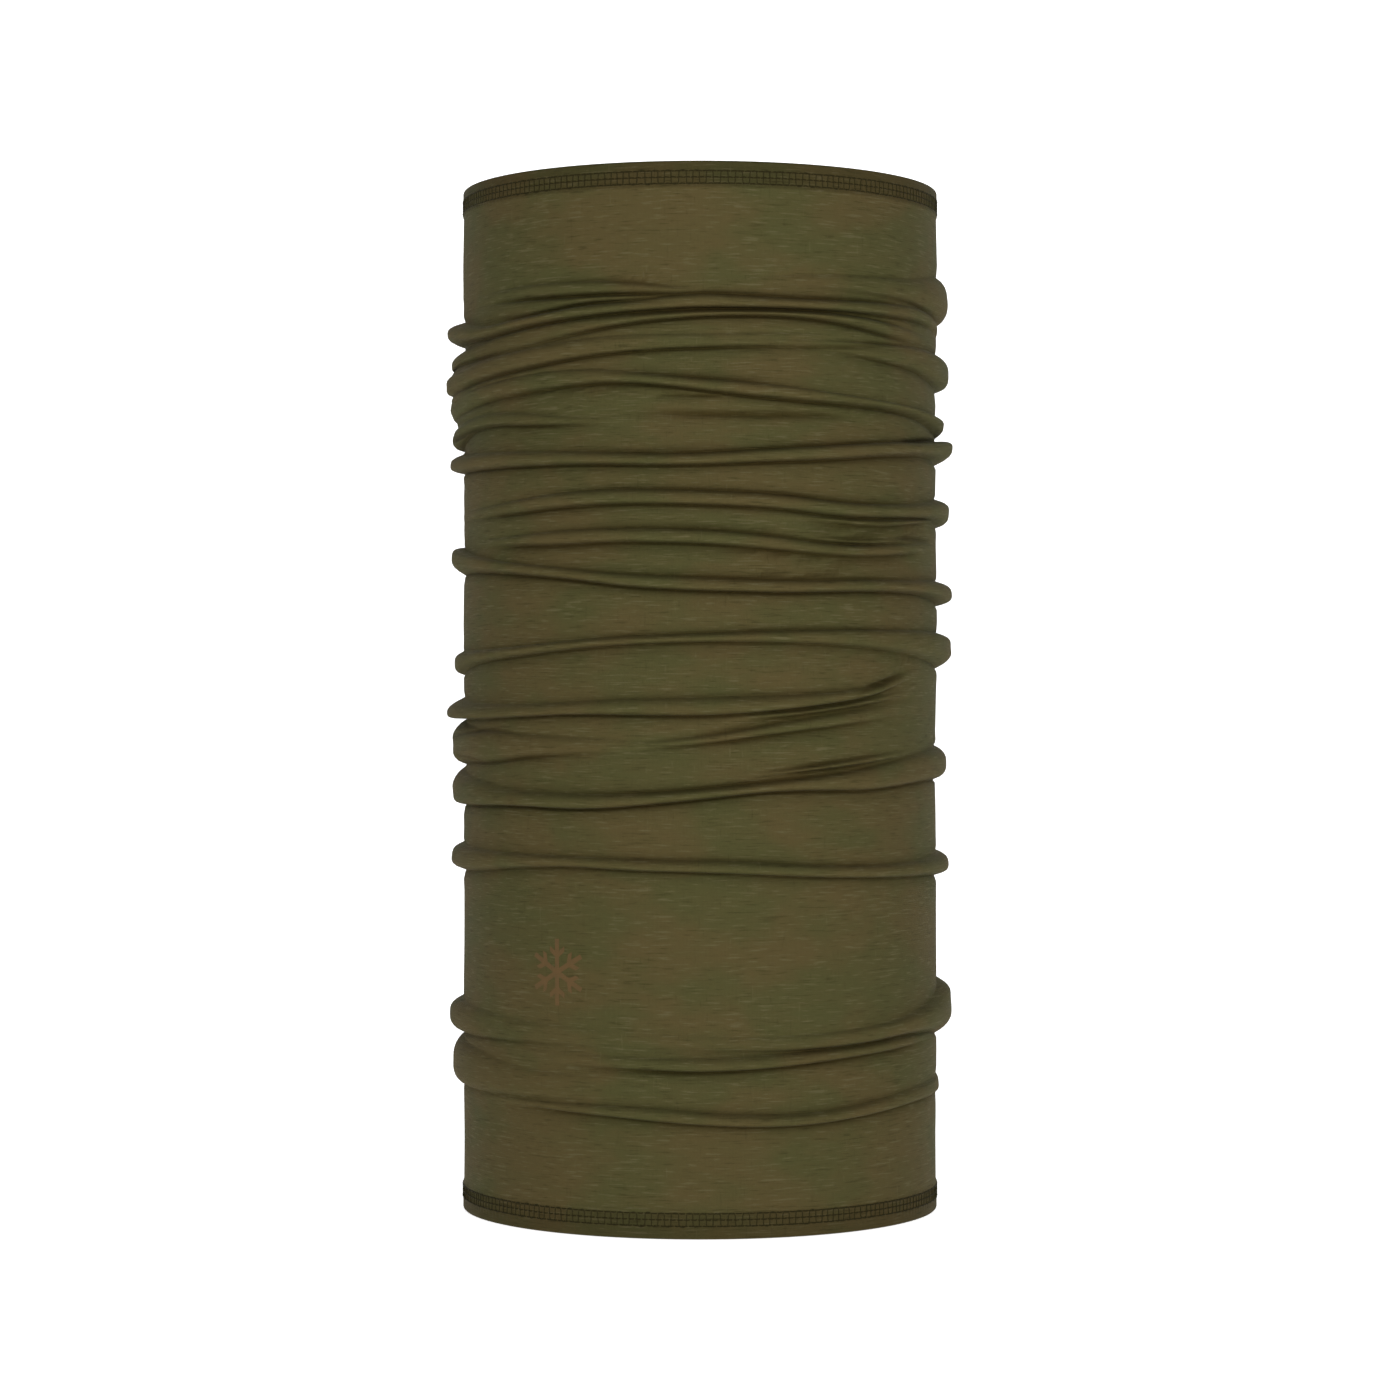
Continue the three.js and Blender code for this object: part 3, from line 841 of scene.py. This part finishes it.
@dataclass
class KnittedTube:
    """The gathered tube of jersey with its two turned hems. Millimetres."""

    radius: float
    height: float
    columns: int = 132
    outer_rows: int = 356
    loose_rows: float = 0.28  # the density of rows where the cloth is smooth
    foot_rows: float = 0.8  # the density at a pleat's foot, for each of its first four rows
    foot_width: float = 0.7
    crease_rows: float = 1.5  # the density in a crease, for each millimetre of its depth
    step_rows: float = 3.0  # the density at a hem's step
    step_width: float = 1.2
    thickness: float = 0.62
    hem_rise: float = 0.22
    hem_step: float = 0.7
    lower_depth: float = 9.2
    upper_depth: float = 8.3
    swell_power: float = 3.2  # the higher, the squarer a pleat
    top_groove: float = 1.4
    bottom_groove: float = 1.8
    groove_width: float = 0.9
    gather_width: float = 9.0  # how far from a pleat the loose ripples reach
    ripple: float = 0.045
    wave: float = 0.055
    rim_calm: float = 25.0  # how far from a rim the slow waves fade
    gathered: tuple[float, float] = (0.108, 0.296)  # heights in metres between which the cloth stretches
    top_grooves: tuple[tuple[float, float], ...] = (  # how strong the top grooves are at each bearing
        (-180, 0.6), (-90, 0.3), (-60, 0.2), (-38, 0.45), (-18, 0.8), (0, 1.0), (25, 1.0), (45, 0.9),
        (63, 0.4), (90, 0.35), (180, 0.6))
    seed: int = 11
    cloth_length: float = 0.0  # measured when the tube is built
    finish: JerseyFinish = JerseyFinish()

    @property
    def turn(self) -> float:
        """Radius of the fold that makes each rim: one thickness of cloth and a hair more."""
        return self.thickness + 0.03

    @property
    def hem_radius(self) -> float:
        """Outside of the hem."""
        return self.radius + self.hem_rise

    @property
    def bearings(self) -> Array:
        """The columns' bearings, in degrees, from -180."""
        return np.linspace(-180.0, 180.0, self.columns, endpoint=False)

    def guides(self) -> Array:
        """Lines round the tube that a row of the grid keeps to, from the bottom up.

        They are the two rims, the two hems' edges and the middles of the pleats that run all the
        way round, leaving out one that comes within 4 mm of the line below it.

        Returns:
            Lines x columns of heights.
        """
        level = np.ones(self.columns)
        middles = [pleat.at(self.bearings)[:2].mean(axis=0) for pleat in PLEATS if pleat.goes_round()]
        kept = [level * self.turn, level * self.lower_depth]
        for line in sorted([*middles, level * (self.height - self.upper_depth)], key=np.mean):
            if np.min(line - kept[-1]) > 4.0:
                kept.append(line)
        return np.stack([*kept, level * (self.height - self.turn)])

    def row_density(self, tall: Array) -> Array:
        """Where the rows of the grid gather.

        It is a constant, plus for each pleat a count of rows spread evenly over it and a bell at
        each of its feet, and a bell at each crease and at each hem's step.

        Args:
            tall: a column of heights.

        Returns:
            Heights x columns of densities.
        """
        density = np.full((tall.size, self.columns), self.loose_rows)
        for pleat in PLEATS:
            top, bottom, reach = pleat.at(self.bearings)
            firm = averaged(np.clip(reach / 0.8, 0.05, 1.0), np.ones(11))
            middle, half = (top + bottom) / 2.0, (top - bottom) / 2.0 + 0.3
            beyond = np.clip((np.abs(tall - middle) - half) / 0.25, -40.0, 40.0)
            density += firm * pleat.rows / (2.0 * half) / (1.0 + np.exp(beyond))
            for foot in (top, bottom):
                density += firm * min(pleat.rows, 4.0) * self.foot_rows * bell(tall - foot, self.foot_width)
        for crease in CREASES:
            density += self.crease_rows * crease.depth_at(self.bearings, tall)
        for step in (self.lower_depth, self.height - self.upper_depth):
            density += self.step_rows * bell(tall - step, self.step_width)
        return density

    def level_rows(self) -> Array:
        """Heights of the outer rows before the cloth is displaced.

        In each column the running sum of the density is stretched so that each guide has the same
        count in every column, and the rows lie at equal steps of it.

        Returns:
            Rows x columns of heights.
        """
        fine = np.linspace(self.turn, self.height - self.turn, 2400)
        sums = np.cumsum(self.row_density(fine[:, None]), axis=0).T
        counts = [np.interp(line, fine, column) for line, column in zip(self.guides().T, sums)]
        even = np.mean(counts, axis=0)
        rows = np.linspace(even[0], even[-1], self.outer_rows)
        evened = [np.interp(column, count, even) for column, count in zip(sums, counts)]
        return np.stack([np.interp(rows, column, fine) for column in evened], axis=1)

    def relief(self, bearing: Array, level: Array) -> tuple[Array, Array, Array]:
        """How far the cloth stands out, how far it hangs down and how deep it lies in a crease.

        Inside a pleat the cloth stands out by its reach times 1 - |u|^p, where u runs from -1 at
        its bottom to 1 at its top, and of pleats that meet the larger counts. A bell at each
        foot draws the cloth in, less at the sides than in front, and there least at the top.
        Loose ripples run along the gathered zones, and slow waves over all of it.

        Args:
            bearing: the columns' bearings, in degrees.
            level: rows x columns of heights.

        Returns:
            The outward and the downward displacement, and the crease from 0 to 1.
        """
        out, down, dip, gather = np.zeros((4, *level.shape))
        tops = self.top_groove * np.interp(bearing, *zip(*self.top_grooves))
        bottoms = self.bottom_groove * (0.4 + 0.6 * np.abs(np.cos(np.radians(bearing))))
        for pleat in PLEATS:
            top, bottom, reach = pleat.at(bearing)
            u = (2.0 * level - top - bottom) / (top - bottom)
            swell = reach * np.clip(1.0 - np.abs(u) ** self.swell_power, 0.0, None)
            down = np.where(swell > out, pleat.hang(bearing) * swell, down)
            out = np.maximum(out, swell)
            firm = np.clip(reach / 1.1, 0.0, 1.0) * pleat.groove
            for foot, depth in ((top, tops * pleat.top_groove), (bottom, bottoms)):
                dip = np.maximum(dip, firm * depth * bell(level - foot, self.groove_width))
            gather = np.maximum(gather, firm * bell(u * (top - bottom) / 2.0, self.gather_width))
        for crease in CREASES:
            dip = np.maximum(dip, crease.depth_at(bearing, level))
        out = out - dip + self.ripples(bearing, level) * gather + self.waves(bearing, level)
        return out, down, np.clip(dip / self.bottom_groove, 0.0, 1.0)

    def cosines(
        self, bearing: Array, level: Array, seed: int, count: int, lean: int, pitch: tuple[float, float]
    ) -> Array:
        """A sum of long cosines over the cloth, each with its own random lean, pitch and phase.

        Each is the cosine of its lean times the bearing, plus one turn for each pitch of height,
        plus its phase.

        Args:
            bearing: bearings, in degrees.
            level: heights.
            seed: where the random draws start.
            count: how many cosines.
            lean: the most turns that one climbs or falls by on its way round.
            pitch: the least and the greatest height between two crests.

        Returns:
            The sum.
        """
        rng = np.random.default_rng(seed)
        total = np.zeros_like(level)
        for _ in range(count):
            turns, high, phase = rng.integers(-lean, lean + 1), rng.uniform(*pitch), rng.uniform(0.0, TURN)
            total += np.cos(turns * np.radians(bearing) + TURN * level / high + phase)
        return total

    def ripples(self, bearing: Array, level: Array) -> Array:
        """Loose ripples between the pleats, nearly level."""
        return self.ripple * self.cosines(bearing, level, self.seed, 14, 5, (5.0, 12.0))

    def waves(self, bearing: Array, level: Array) -> Array:
        """Slow unevenness of the standing tube, which fades towards the rims."""
        rim = np.clip(np.minimum(level, self.height - level) / self.rim_calm, 0.0, 1.0)
        return self.wave * rim * self.cosines(bearing, level, self.seed + 1, 10, 4, (45.0, 130.0))

    def outside(self, bearing: Array, level: Array) -> tuple[Array, Array, Array]:
        """Radius and height of the cloth's outer face, and its crease.

        The hems stand proud by their rise, with a smooth step to the cloth between them.

        Args:
            bearing: the columns' bearings, in degrees.
            level: rows x columns of heights before displacement.

        Returns:
            Radius, height and crease.
        """
        out, down, crease = self.relief(bearing, level)
        rim = np.minimum(level - self.lower_depth, self.height - self.upper_depth - level)
        share = np.clip(0.5 - rim / self.hem_step, 0.0, 1.0)
        rise = self.hem_rise * share**2 * (3.0 - 2.0 * share)
        return self.radius + out + rise, level - down, crease

    def rim_turn(self, depth: float, rows: int = 7) -> tuple[Array, Array]:
        """The cloth from the cut edge inside to the start of the outer face, at a rim at height 0.

        Down the inside in a straight line, then half round a circle of the turn's radius.

        Args:
            depth: height of the cut edge.
            rows: rows of the half circle.

        Returns:
            Radius and height of each row, without the one where the outer face starts.
        """
        straight = np.linspace(depth, self.turn, 5)[:-1]
        angle = np.linspace(np.pi, TURN, rows)[:-1]
        centre = self.hem_radius - self.turn
        curve = centre + self.turn * np.cos(angle)
        radius = np.concatenate([np.full(straight.size, centre - self.turn), curve])
        height = np.concatenate([straight, self.turn + self.turn * np.sin(angle)])
        return radius, height

    def between(self, low: Array, outer: Array, high: Array) -> Array:
        """The rows of the outer face between those of the two turned rims, which are alike all round."""
        wide = np.ones((1, self.columns))
        return np.concatenate([low[:, None] * wide, outer, high[:, None] * wide])

    def face(self) -> tuple[Array, Array, Array, Array]:
        """The whole outer face of the cloth, from cut edge to cut edge.

        A row's place in the cloth is its height before displacement plus the length that the
        gathers have taken up below it, on average round the tube. So the courses of the knit stay
        level between the pleats.

        Returns:
            Radius, height, place in the cloth and crease.
        """
        level = self.level_rows()
        radius, height, crease = self.outside(self.bearings, level)
        even = np.linspace(level[0, 0], level[-1, 0], 1200)
        spent = [np.interp(even, rows, run) for rows, run in zip(level.T, run_length(radius, height).T)]
        place = np.interp(level, even, np.mean(spent, axis=0))
        low_r, low_z = self.rim_turn(self.lower_depth)
        high_r, high_z = (values[::-1] for values in self.rim_turn(self.upper_depth))
        low_run, high_run = run_length(low_r, low_z), run_length(high_r, high_z)
        place = place + 2.0 * low_run[-1] - low_run[-2]
        return (
            self.between(low_r, radius, high_r),
            self.between(low_z, height, self.height - high_z),
            self.between(low_run, place, place[-1].max() + high_run[1] + high_run),
            self.between(np.zeros(low_r.size), crease, np.zeros(high_r.size)),
        )

    def build(self) -> bpy.types.Object:
        """The tube's mesh, with its cloth coordinates and its thickness.

        The UV is metres round the tube and metres of cloth up from the cut edge. The attribute
        cloth holds the same place without a seam, as millimetres on a cylinder as long as the
        cloth, rim the millimetres of cloth to the nearer rim and crease the depth in a crease, by
        which the jersey's colour is darkened as painted shade.

        Returns:
            The tube.
        """
        radius, height, cloth, crease = self.face()
        bearing = np.radians(self.bearings)
        across = np.linspace(0.0, TURN * self.radius, self.columns + 1)
        uv = paired(across, np.concatenate([cloth, cloth[:, :1]], axis=1)) * MM
        tube = grid_object("jersey_tube", around(radius, bearing, height), uv, close_columns=True)
        rim = np.minimum(np.abs(cloth - self.lower_depth), np.abs(cloth[-1:] - self.upper_depth - cloth))
        attributes = tube.data.attributes
        attributes.new("cloth", "FLOAT_VECTOR", "POINT").data.foreach_set(
            "vector", (around(self.radius, bearing, cloth) / MM).ravel())
        attributes.new("rim", "FLOAT", "POINT").data.foreach_set("value", rim.ravel())
        attributes.new("crease", "FLOAT", "POINT").data.foreach_set("value", crease.ravel())
        self.cloth_length = float(run_length(radius, height)[-1].mean())
        wall = add_wall(tube, "cloth thickness", self.thickness, -1.0)
        with bpy.context.temp_override(object=tube, active_object=tube, selected_objects=[tube]):
            bpy.ops.object.modifier_apply(modifier=wall.name)
        return tube

    def dress(self, tube: bpy.types.Object) -> None:
        """Gives the tube its jersey and ties it to the frame: it stretches between the two bodies.

        Args:
            tube: the tube's object.
        """
        stand_in(tube, self.finish.material(), "knitted_tube")
        start, end = self.gathered
        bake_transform(tube, LOWER_BODY, UPPER_BODY, start=(0.0, 0.0, start), end=(0.0, 0.0, end))


# ---- the coverstitch ----


class Rim(Enum):
    """Which rim a hem belongs to."""

    LOWER = "lower"
    UPPER = "upper"


@dataclass
class HemStitching:
    """Three needle threads and a cover thread outside, a looper thread inside. Millimetres."""

    rim: Rim
    tube: KnittedTube
    stitches: int = 112
    samples: int = 16  # points of a thread for each stitch
    needle_spacing: float = 1.95
    inset: float = 1.2  # from the cut edge to the nearest needle thread
    proud: float = 0.04  # of the middle of a thread beyond the hem's face
    dip: float = 0.26  # how far a needle thread goes into the hem
    needle_thickness: float = 0.40
    cover_thickness: float = 0.30
    wander: float = 0.05  # of a needle thread across the band
    swing: float = 1.08  # of the cover thread to each side, in needle spacings
    lift: float = 0.12  # of the cover thread over a needle thread
    looper_swing: float = 1.12
    looper_lift: float = -0.10
    looper_depth: float = 0.12  # of the looper thread beyond the cloth's inner face
    lag: float = 0.07  # how far a swing runs behind and ahead, as a share of a stitch
    uneven: float = 0.05  # spread of a stitch's start and length, as a share of both
    seed: int = 5
    finish: ThreadFinish = ThreadFinish()
    # the cover thread's second colour is the painted highlight on its plies' crests and its wear
    cover_finish: ThreadFinish = ThreadFinish(
        "cover_thread", rgb(0.017, 0.0145, 0.0045), rgb(0.032, 0.0270, 0.0095))

    def height(self, from_rim: Array | float) -> Array | float:
        """The height at a distance from this rim."""
        return from_rim if self.rim is Rim.LOWER else self.tube.height - from_rim

    def rows(self) -> list[float]:
        """Distances of the inner, middle and outer needle threads from the rim."""
        depth = self.tube.lower_depth if self.rim is Rim.LOWER else self.tube.upper_depth
        return [depth - self.inset - index * self.needle_spacing for index in range(3)]

    def steps(self) -> tuple[Array, Array]:
        """Bearing in radians and place within its stitch, from 0 to 1, of each point of a thread."""
        place = np.arange(self.stitches * self.samples) / self.samples
        return place * (TURN / self.stitches), place % 1.0

    def needle_path(self, from_rim: float, phase: float) -> Array:
        """A needle thread: it lies on the hem and dips into it twice in each stitch.

        Its radius is less by the dip times the twelfth power of a cosine with one turn for each
        stitch, and it wanders a little across the band on two other cosines.

        Args:
            from_rim: distance from the rim.
            phase: share of a stitch by which this row is shifted.

        Returns:
            The path.
        """
        bearing, place = self.steps()
        turn = TURN * (place - phase)
        wander = self.wander * np.cos(2.0 * turn) + self.wander * np.cos(5.0 * bearing)
        radius = self.tube.hem_radius + self.proud - self.dip * np.cos(turn) ** 12
        return around(radius, bearing, self.height(from_rim + wander))

    def cover_path(self, radius: float, reach: float, lift: float) -> Array:
        """A thread that swings across the three rows and back once in each stitch.

        Across the band it follows a flattened sine, and along the seam it falls behind its swing and
        catches up again, which sets the rungs upright. Each stitch is a little early or late, and a
        little longer or shorter, by its own random amount.

        Args:
            radius: where it lies.
            reach: how far it swings from the middle row.
            lift: how far it rises over a needle thread.

        Returns:
            The path.
        """
        bearing, place = self.steps()
        rng = np.random.default_rng(self.seed)
        order = np.arange(bearing.size) / bearing.size * self.stitches
        counted = np.arange(self.stitches)
        draws = [rng.normal(0.0, self.uneven, self.stitches) for _ in range(2)]
        late, long = (np.interp(order, counted, draw, period=self.stitches) for draw in draws)
        swing = np.sin(TURN * place)
        across = np.sign(swing) * np.abs(swing) ** 0.4 * reach * (1.0 + long)
        behind = late - self.lag * np.sin(2.0 * TURN * place)
        bearing = bearing + behind * (TURN / self.stitches)
        return around(radius + lift * np.abs(swing) ** 4, bearing, self.height(self.rows()[1] + across))

    def build(self) -> list[bpy.types.Object]:
        """All five threads of this hem, dressed and riding.

        Returns:
            The threads.
        """
        outside = self.tube.hem_radius + self.proud
        inside = self.tube.hem_radius - 2.0 * self.tube.turn - self.looper_depth
        paths = {
            f"{row}_needle_thread": self.needle_path(from_rim, index / 3.0)
            for index, (row, from_rim) in enumerate(zip(("inner", "middle", "outer"), self.rows()))
        }
        space = self.needle_spacing
        paths["cover_thread"] = self.cover_path(outside, space * self.swing, self.lift)
        paths["looper_thread"] = self.cover_path(inside, space * self.looper_swing, self.looper_lift)
        needle = (self.needle_thickness, self.finish.material())
        cover = (self.cover_thickness, self.cover_finish.material())
        pieces = []
        for name, path in paths.items():
            thickness, material = needle if "needle" in name else cover
            piece = thread_object(f"{self.rim.value}_hem_{name}_sewn", path, thickness)
            stand_in(piece, material, f"{self.rim.value}_hem_{name}")
            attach(piece, LOWER_BODY if self.rim is Rim.LOWER else UPPER_BODY)
            pieces.append(piece)
        return pieces


# ---- the emblem and the label ----


@dataclass
class TransferEmblem:
    """A plain snow crystal pressed on the front. Millimetres."""

    tube: KnittedTube
    bearing: float
    height: float
    radius: float
    half_arm: float = 0.075  # half of an arm's width, as a share of the radius
    branch: float = 0.27  # how far to the side its branches go, as a share of the radius
    film: float = 0.05
    clearance: float = 0.02
    cuts: int = 3
    finish: TransferFinish = TransferFinish()

    def outline(self) -> tuple[Array, list[list[int]]]:
        """Points and faces of the flat crystal.

        Each of the six arms is three quads in a row, the middle one with a slanted quad on each
        side for the branches. A fan of triangles closes the middle.

        Returns:
            Points x 2, and the faces.
        """
        half, wide = self.half_arm, self.branch
        arm = np.array([
            [-half, 0.13], [half, 0.13], [-half, 0.46], [half, 0.46], [-half, 0.64], [half, 0.64],
            [-half, 1.0], [half, 1.0], [-wide, 0.62], [-wide, 0.78], [wide, 0.62], [wide, 0.78],
        ]) * self.radius
        quads = [[0, 1, 3, 2], [2, 3, 5, 4], [4, 5, 7, 6], [3, 10, 11, 5], [8, 2, 4, 9]]
        points, faces, hub = [], [], []
        for turn in range(6):
            angle = turn * TURN / 6.0
            spin = np.array([[math.cos(angle), math.sin(angle)], [-math.sin(angle), math.cos(angle)]])
            base = turn * len(arm)
            points.append(arm @ spin)
            faces += [[base + corner for corner in quad] for quad in quads]
            hub += [base + 1, base]
        points.append(np.zeros((1, 2)))
        faces += [[6 * len(arm), hub[k], hub[k - 1]] for k in range(len(hub))]
        return np.concatenate(points), faces

    def build(self) -> bpy.types.Object:
        """The film, cut fine, laid on the cloth and given its thickness.

        Returns:
            The emblem.
        """
        flat, faces = self.outline()
        mesh = bpy.data.meshes.new("snow_crystal_print")
        mesh.from_pydata([(x, y, 0.0) for x, y in flat], [], faces)
        work = bmesh.new()
        work.from_mesh(mesh)
        bmesh.ops.subdivide_edges(work, edges=work.edges[:], cuts=self.cuts, use_grid_fill=True)
        bmesh.ops.remove_doubles(work, verts=work.verts[:], dist=1e-4)
        bmesh.ops.recalc_face_normals(work, faces=work.faces[:])
        work.to_mesh(mesh)
        work.free()
        place = np.empty(len(mesh.vertices) * 3)
        mesh.vertices.foreach_get("co", place)
        across, up, _ = place.reshape(-1, 3).T
        bearing = math.radians(self.bearing) + across / self.tube.radius
        level = self.height + up
        radius = self.tube.radius + self.tube.waves(np.degrees(bearing), level) + self.film + self.clearance
        mesh.vertices.foreach_set("co", around(radius, bearing, level).ravel())
        mesh.update()
        if mesh.polygons[0].normal.y > 0.0:
            mesh.flip_normals()
        piece = add_object("snow_crystal_print", mesh)
        add_wall(piece, "film", self.film, -1.0)
        stand_in(piece, self.finish.material(), "transfer_emblem")
        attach(piece, LOWER_BODY)
        return piece


@dataclass
class CareLabel:
    """A blank folded tape caught in the lower hem at the back. Millimetres."""

    tube: KnittedTube
    bearing: float = 180.0
    width: float = 20.0
    bottom: float = 4.0
    top: float = 31.0
    tape: float = 0.14
    bend: float = 0.22  # radius of the fold at its top
    near: float = 0.45  # from the wall at its bottom
    lean: float = 1.4  # how much further off its top is
    curl: float = 0.35  # how far its middle and its sides stand off the wall in turn
    held: float = 9.0  # height up to which the hem keeps it flat
    finish: SatinTapeFinish = SatinTapeFinish()

    def build(self) -> bpy.types.Object:
        """The tape: up from the hem, over its fold and down again, leaning off the wall.

        The distance from the wall grows with the square of the height above the hem, the fold is
        half a circle, and above the hem the tape curls across its width by a cosine.

        Returns:
            The label.
        """
        up = np.linspace(self.bottom, self.top, 14)
        fold = np.linspace(0.0, math.pi, 7)[1:-1]
        off_wall = self.near + self.lean * ((up - self.bottom) / (self.top - self.bottom)) ** 2
        along = np.concatenate([up, self.top + self.bend * np.sin(fold), up[::-1]])
        over = off_wall[-1] + self.bend * (1.0 - np.cos(fold))
        off = np.concatenate([off_wall, over, off_wall[::-1] + 2.0 * self.bend])
        across = np.linspace(-self.width / 2.0, self.width / 2.0, 17)
        free = np.clip((along - self.held) / (self.top - self.held), 0.0, 1.0)
        curl = self.curl * np.cos(across / self.width * TURN) * free[:, None]
        wall = self.tube.radius - self.tube.thickness
        bearing = math.radians(self.bearing) + across / wall
        points = around(wall - off[:, None] - curl, bearing, along[:, None])
        piece = grid_object("blank_label_tape", points, paired(across, run_length(along, off)[:, None]) * MM)
        add_wall(piece, "tape", self.tape, 0.0)
        stand_in(piece, self.finish.material(), "care_label")
        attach(piece, LOWER_BODY)
        return piece


# ---- the studio ----


@dataclass(frozen=True)
class Softbox:
    """A square soft light. Metres and watts."""

    name: str
    place: tuple[float, float, float]
    size: float
    watts: float

    def build(self, aim: float) -> None:
        """The lamp, turned towards a point on the gaiter's axis.

        Args:
            aim: the height of that point.
        """
        data = bpy.data.lights.new(self.name, "AREA")
        data.size = self.size
        data.energy = self.watts
        lamp = add_object(self.name, data)
        lamp.location = self.place
        x, y, z = self.place
        lamp.rotation_euler = (math.atan2(math.hypot(x, y), z - aim), 0.0, math.atan2(x, -y))


@dataclass
class Studio:
    """A white paper sweep, soft lights and a level camera in front of the gaiter. Metres."""

    middle: float
    camera_distance: float = 1.2012
    lens: float = 93.05
    sensor: float = 36.0
    air: float = 0.14
    paper_width: float = 7.0
    paper_front: float = 3.0  # how far the paper reaches before and behind the gaiter
    paper_back: float = 1.2
    paper_bend: float = 0.6  # radius of its bend
    paper_rise: float = 2.6  # above the bend
    softboxes: tuple[Softbox, ...] = (
        Softbox("front_softbox", (0.22, -2.0, 0.62), 1.0, 25.0),
        Softbox("overhead_softbox", (0.05, -0.7, 1.8), 1.2, 4.4),
    )

    def sweep(self) -> None:
        """The paper: flat under the gaiter, a quarter circle behind it, then straight up."""
        angle = np.linspace(0.0, math.pi / 2.0, 17)
        back, bend = self.paper_back, self.paper_bend
        depth = np.concatenate([[-self.paper_front], back + bend * np.sin(angle), [back + bend]])
        height = np.concatenate([[0.0], bend * (1.0 - np.cos(angle)), [bend + self.paper_rise]]) - 0.0002
        wide = np.linspace(-self.paper_width / 2.0, self.paper_width / 2.0, 3)
        points = np.stack(np.broadcast_arrays(wide, depth[:, None], height[:, None]), axis=-1)
        paper = grid_object("studio_paper", points, paired(wide, depth[:, None]))
        paper.data.materials.append(PaperFinish().material())

    def build(self) -> None:
        """Sweep, world, lights and camera."""
        self.sweep()
        scene = bpy.context.scene
        scene.world = bpy.data.worlds.new("studio_air")
        scene.world.use_nodes = True
        backdrop = scene.world.node_tree.nodes["Background"]
        backdrop.inputs["Color"].default_value = rgb(1.0, 1.0, 1.0)
        backdrop.inputs["Strength"].default_value = self.air
        scene.view_settings.view_transform = "Standard"
        for softbox in self.softboxes:
            softbox.build(self.middle)
        data = bpy.data.cameras.new("camera")
        data.lens = self.lens
        data.sensor_width = self.sensor
        camera = add_object("camera", data)
        camera.location = (0.0, -self.camera_distance, self.middle)
        camera.rotation_euler = (math.pi / 2.0, 0.0, 0.0)
        scene.camera = camera


# ---- the whole gaiter ----


def main() -> None:
    """Builds each part in order and reports it."""
    low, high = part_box("knitted_tube")
    mark_low, mark_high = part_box("transfer_emblem")
    Studio(middle=(low.z + high.z) / 2.0).build()
    tube = KnittedTube(radius=78.2, height=(high.z - low.z) / MM)
    cloth = tube.build()
    tube.dress(cloth)
    log.info("tube: %d faces, %.0f mm of cloth", len(cloth.data.polygons), tube.cloth_length)
    sewn = []
    for rim in Rim:
        threads = HemStitching(rim, tube).build()
        log.info("%s hem: %d threads", rim.value, len(threads))
        sewn += threads
    middle = (mark_low + mark_high) / 2.0
    emblem = TransferEmblem(
        tube,
        bearing=math.degrees(math.atan2(middle.x, -middle.y)),
        height=middle.z / MM,
        radius=(mark_high.z - mark_low.z) / 2.0 / MM,
    ).build()
    log.info("emblem: %s", emblem.name)
    label = CareLabel(tube).build()
    log.info("label: %s", label.name)


if __name__ == "__main__":
    logging.basicConfig(level=logging.INFO)
    main()
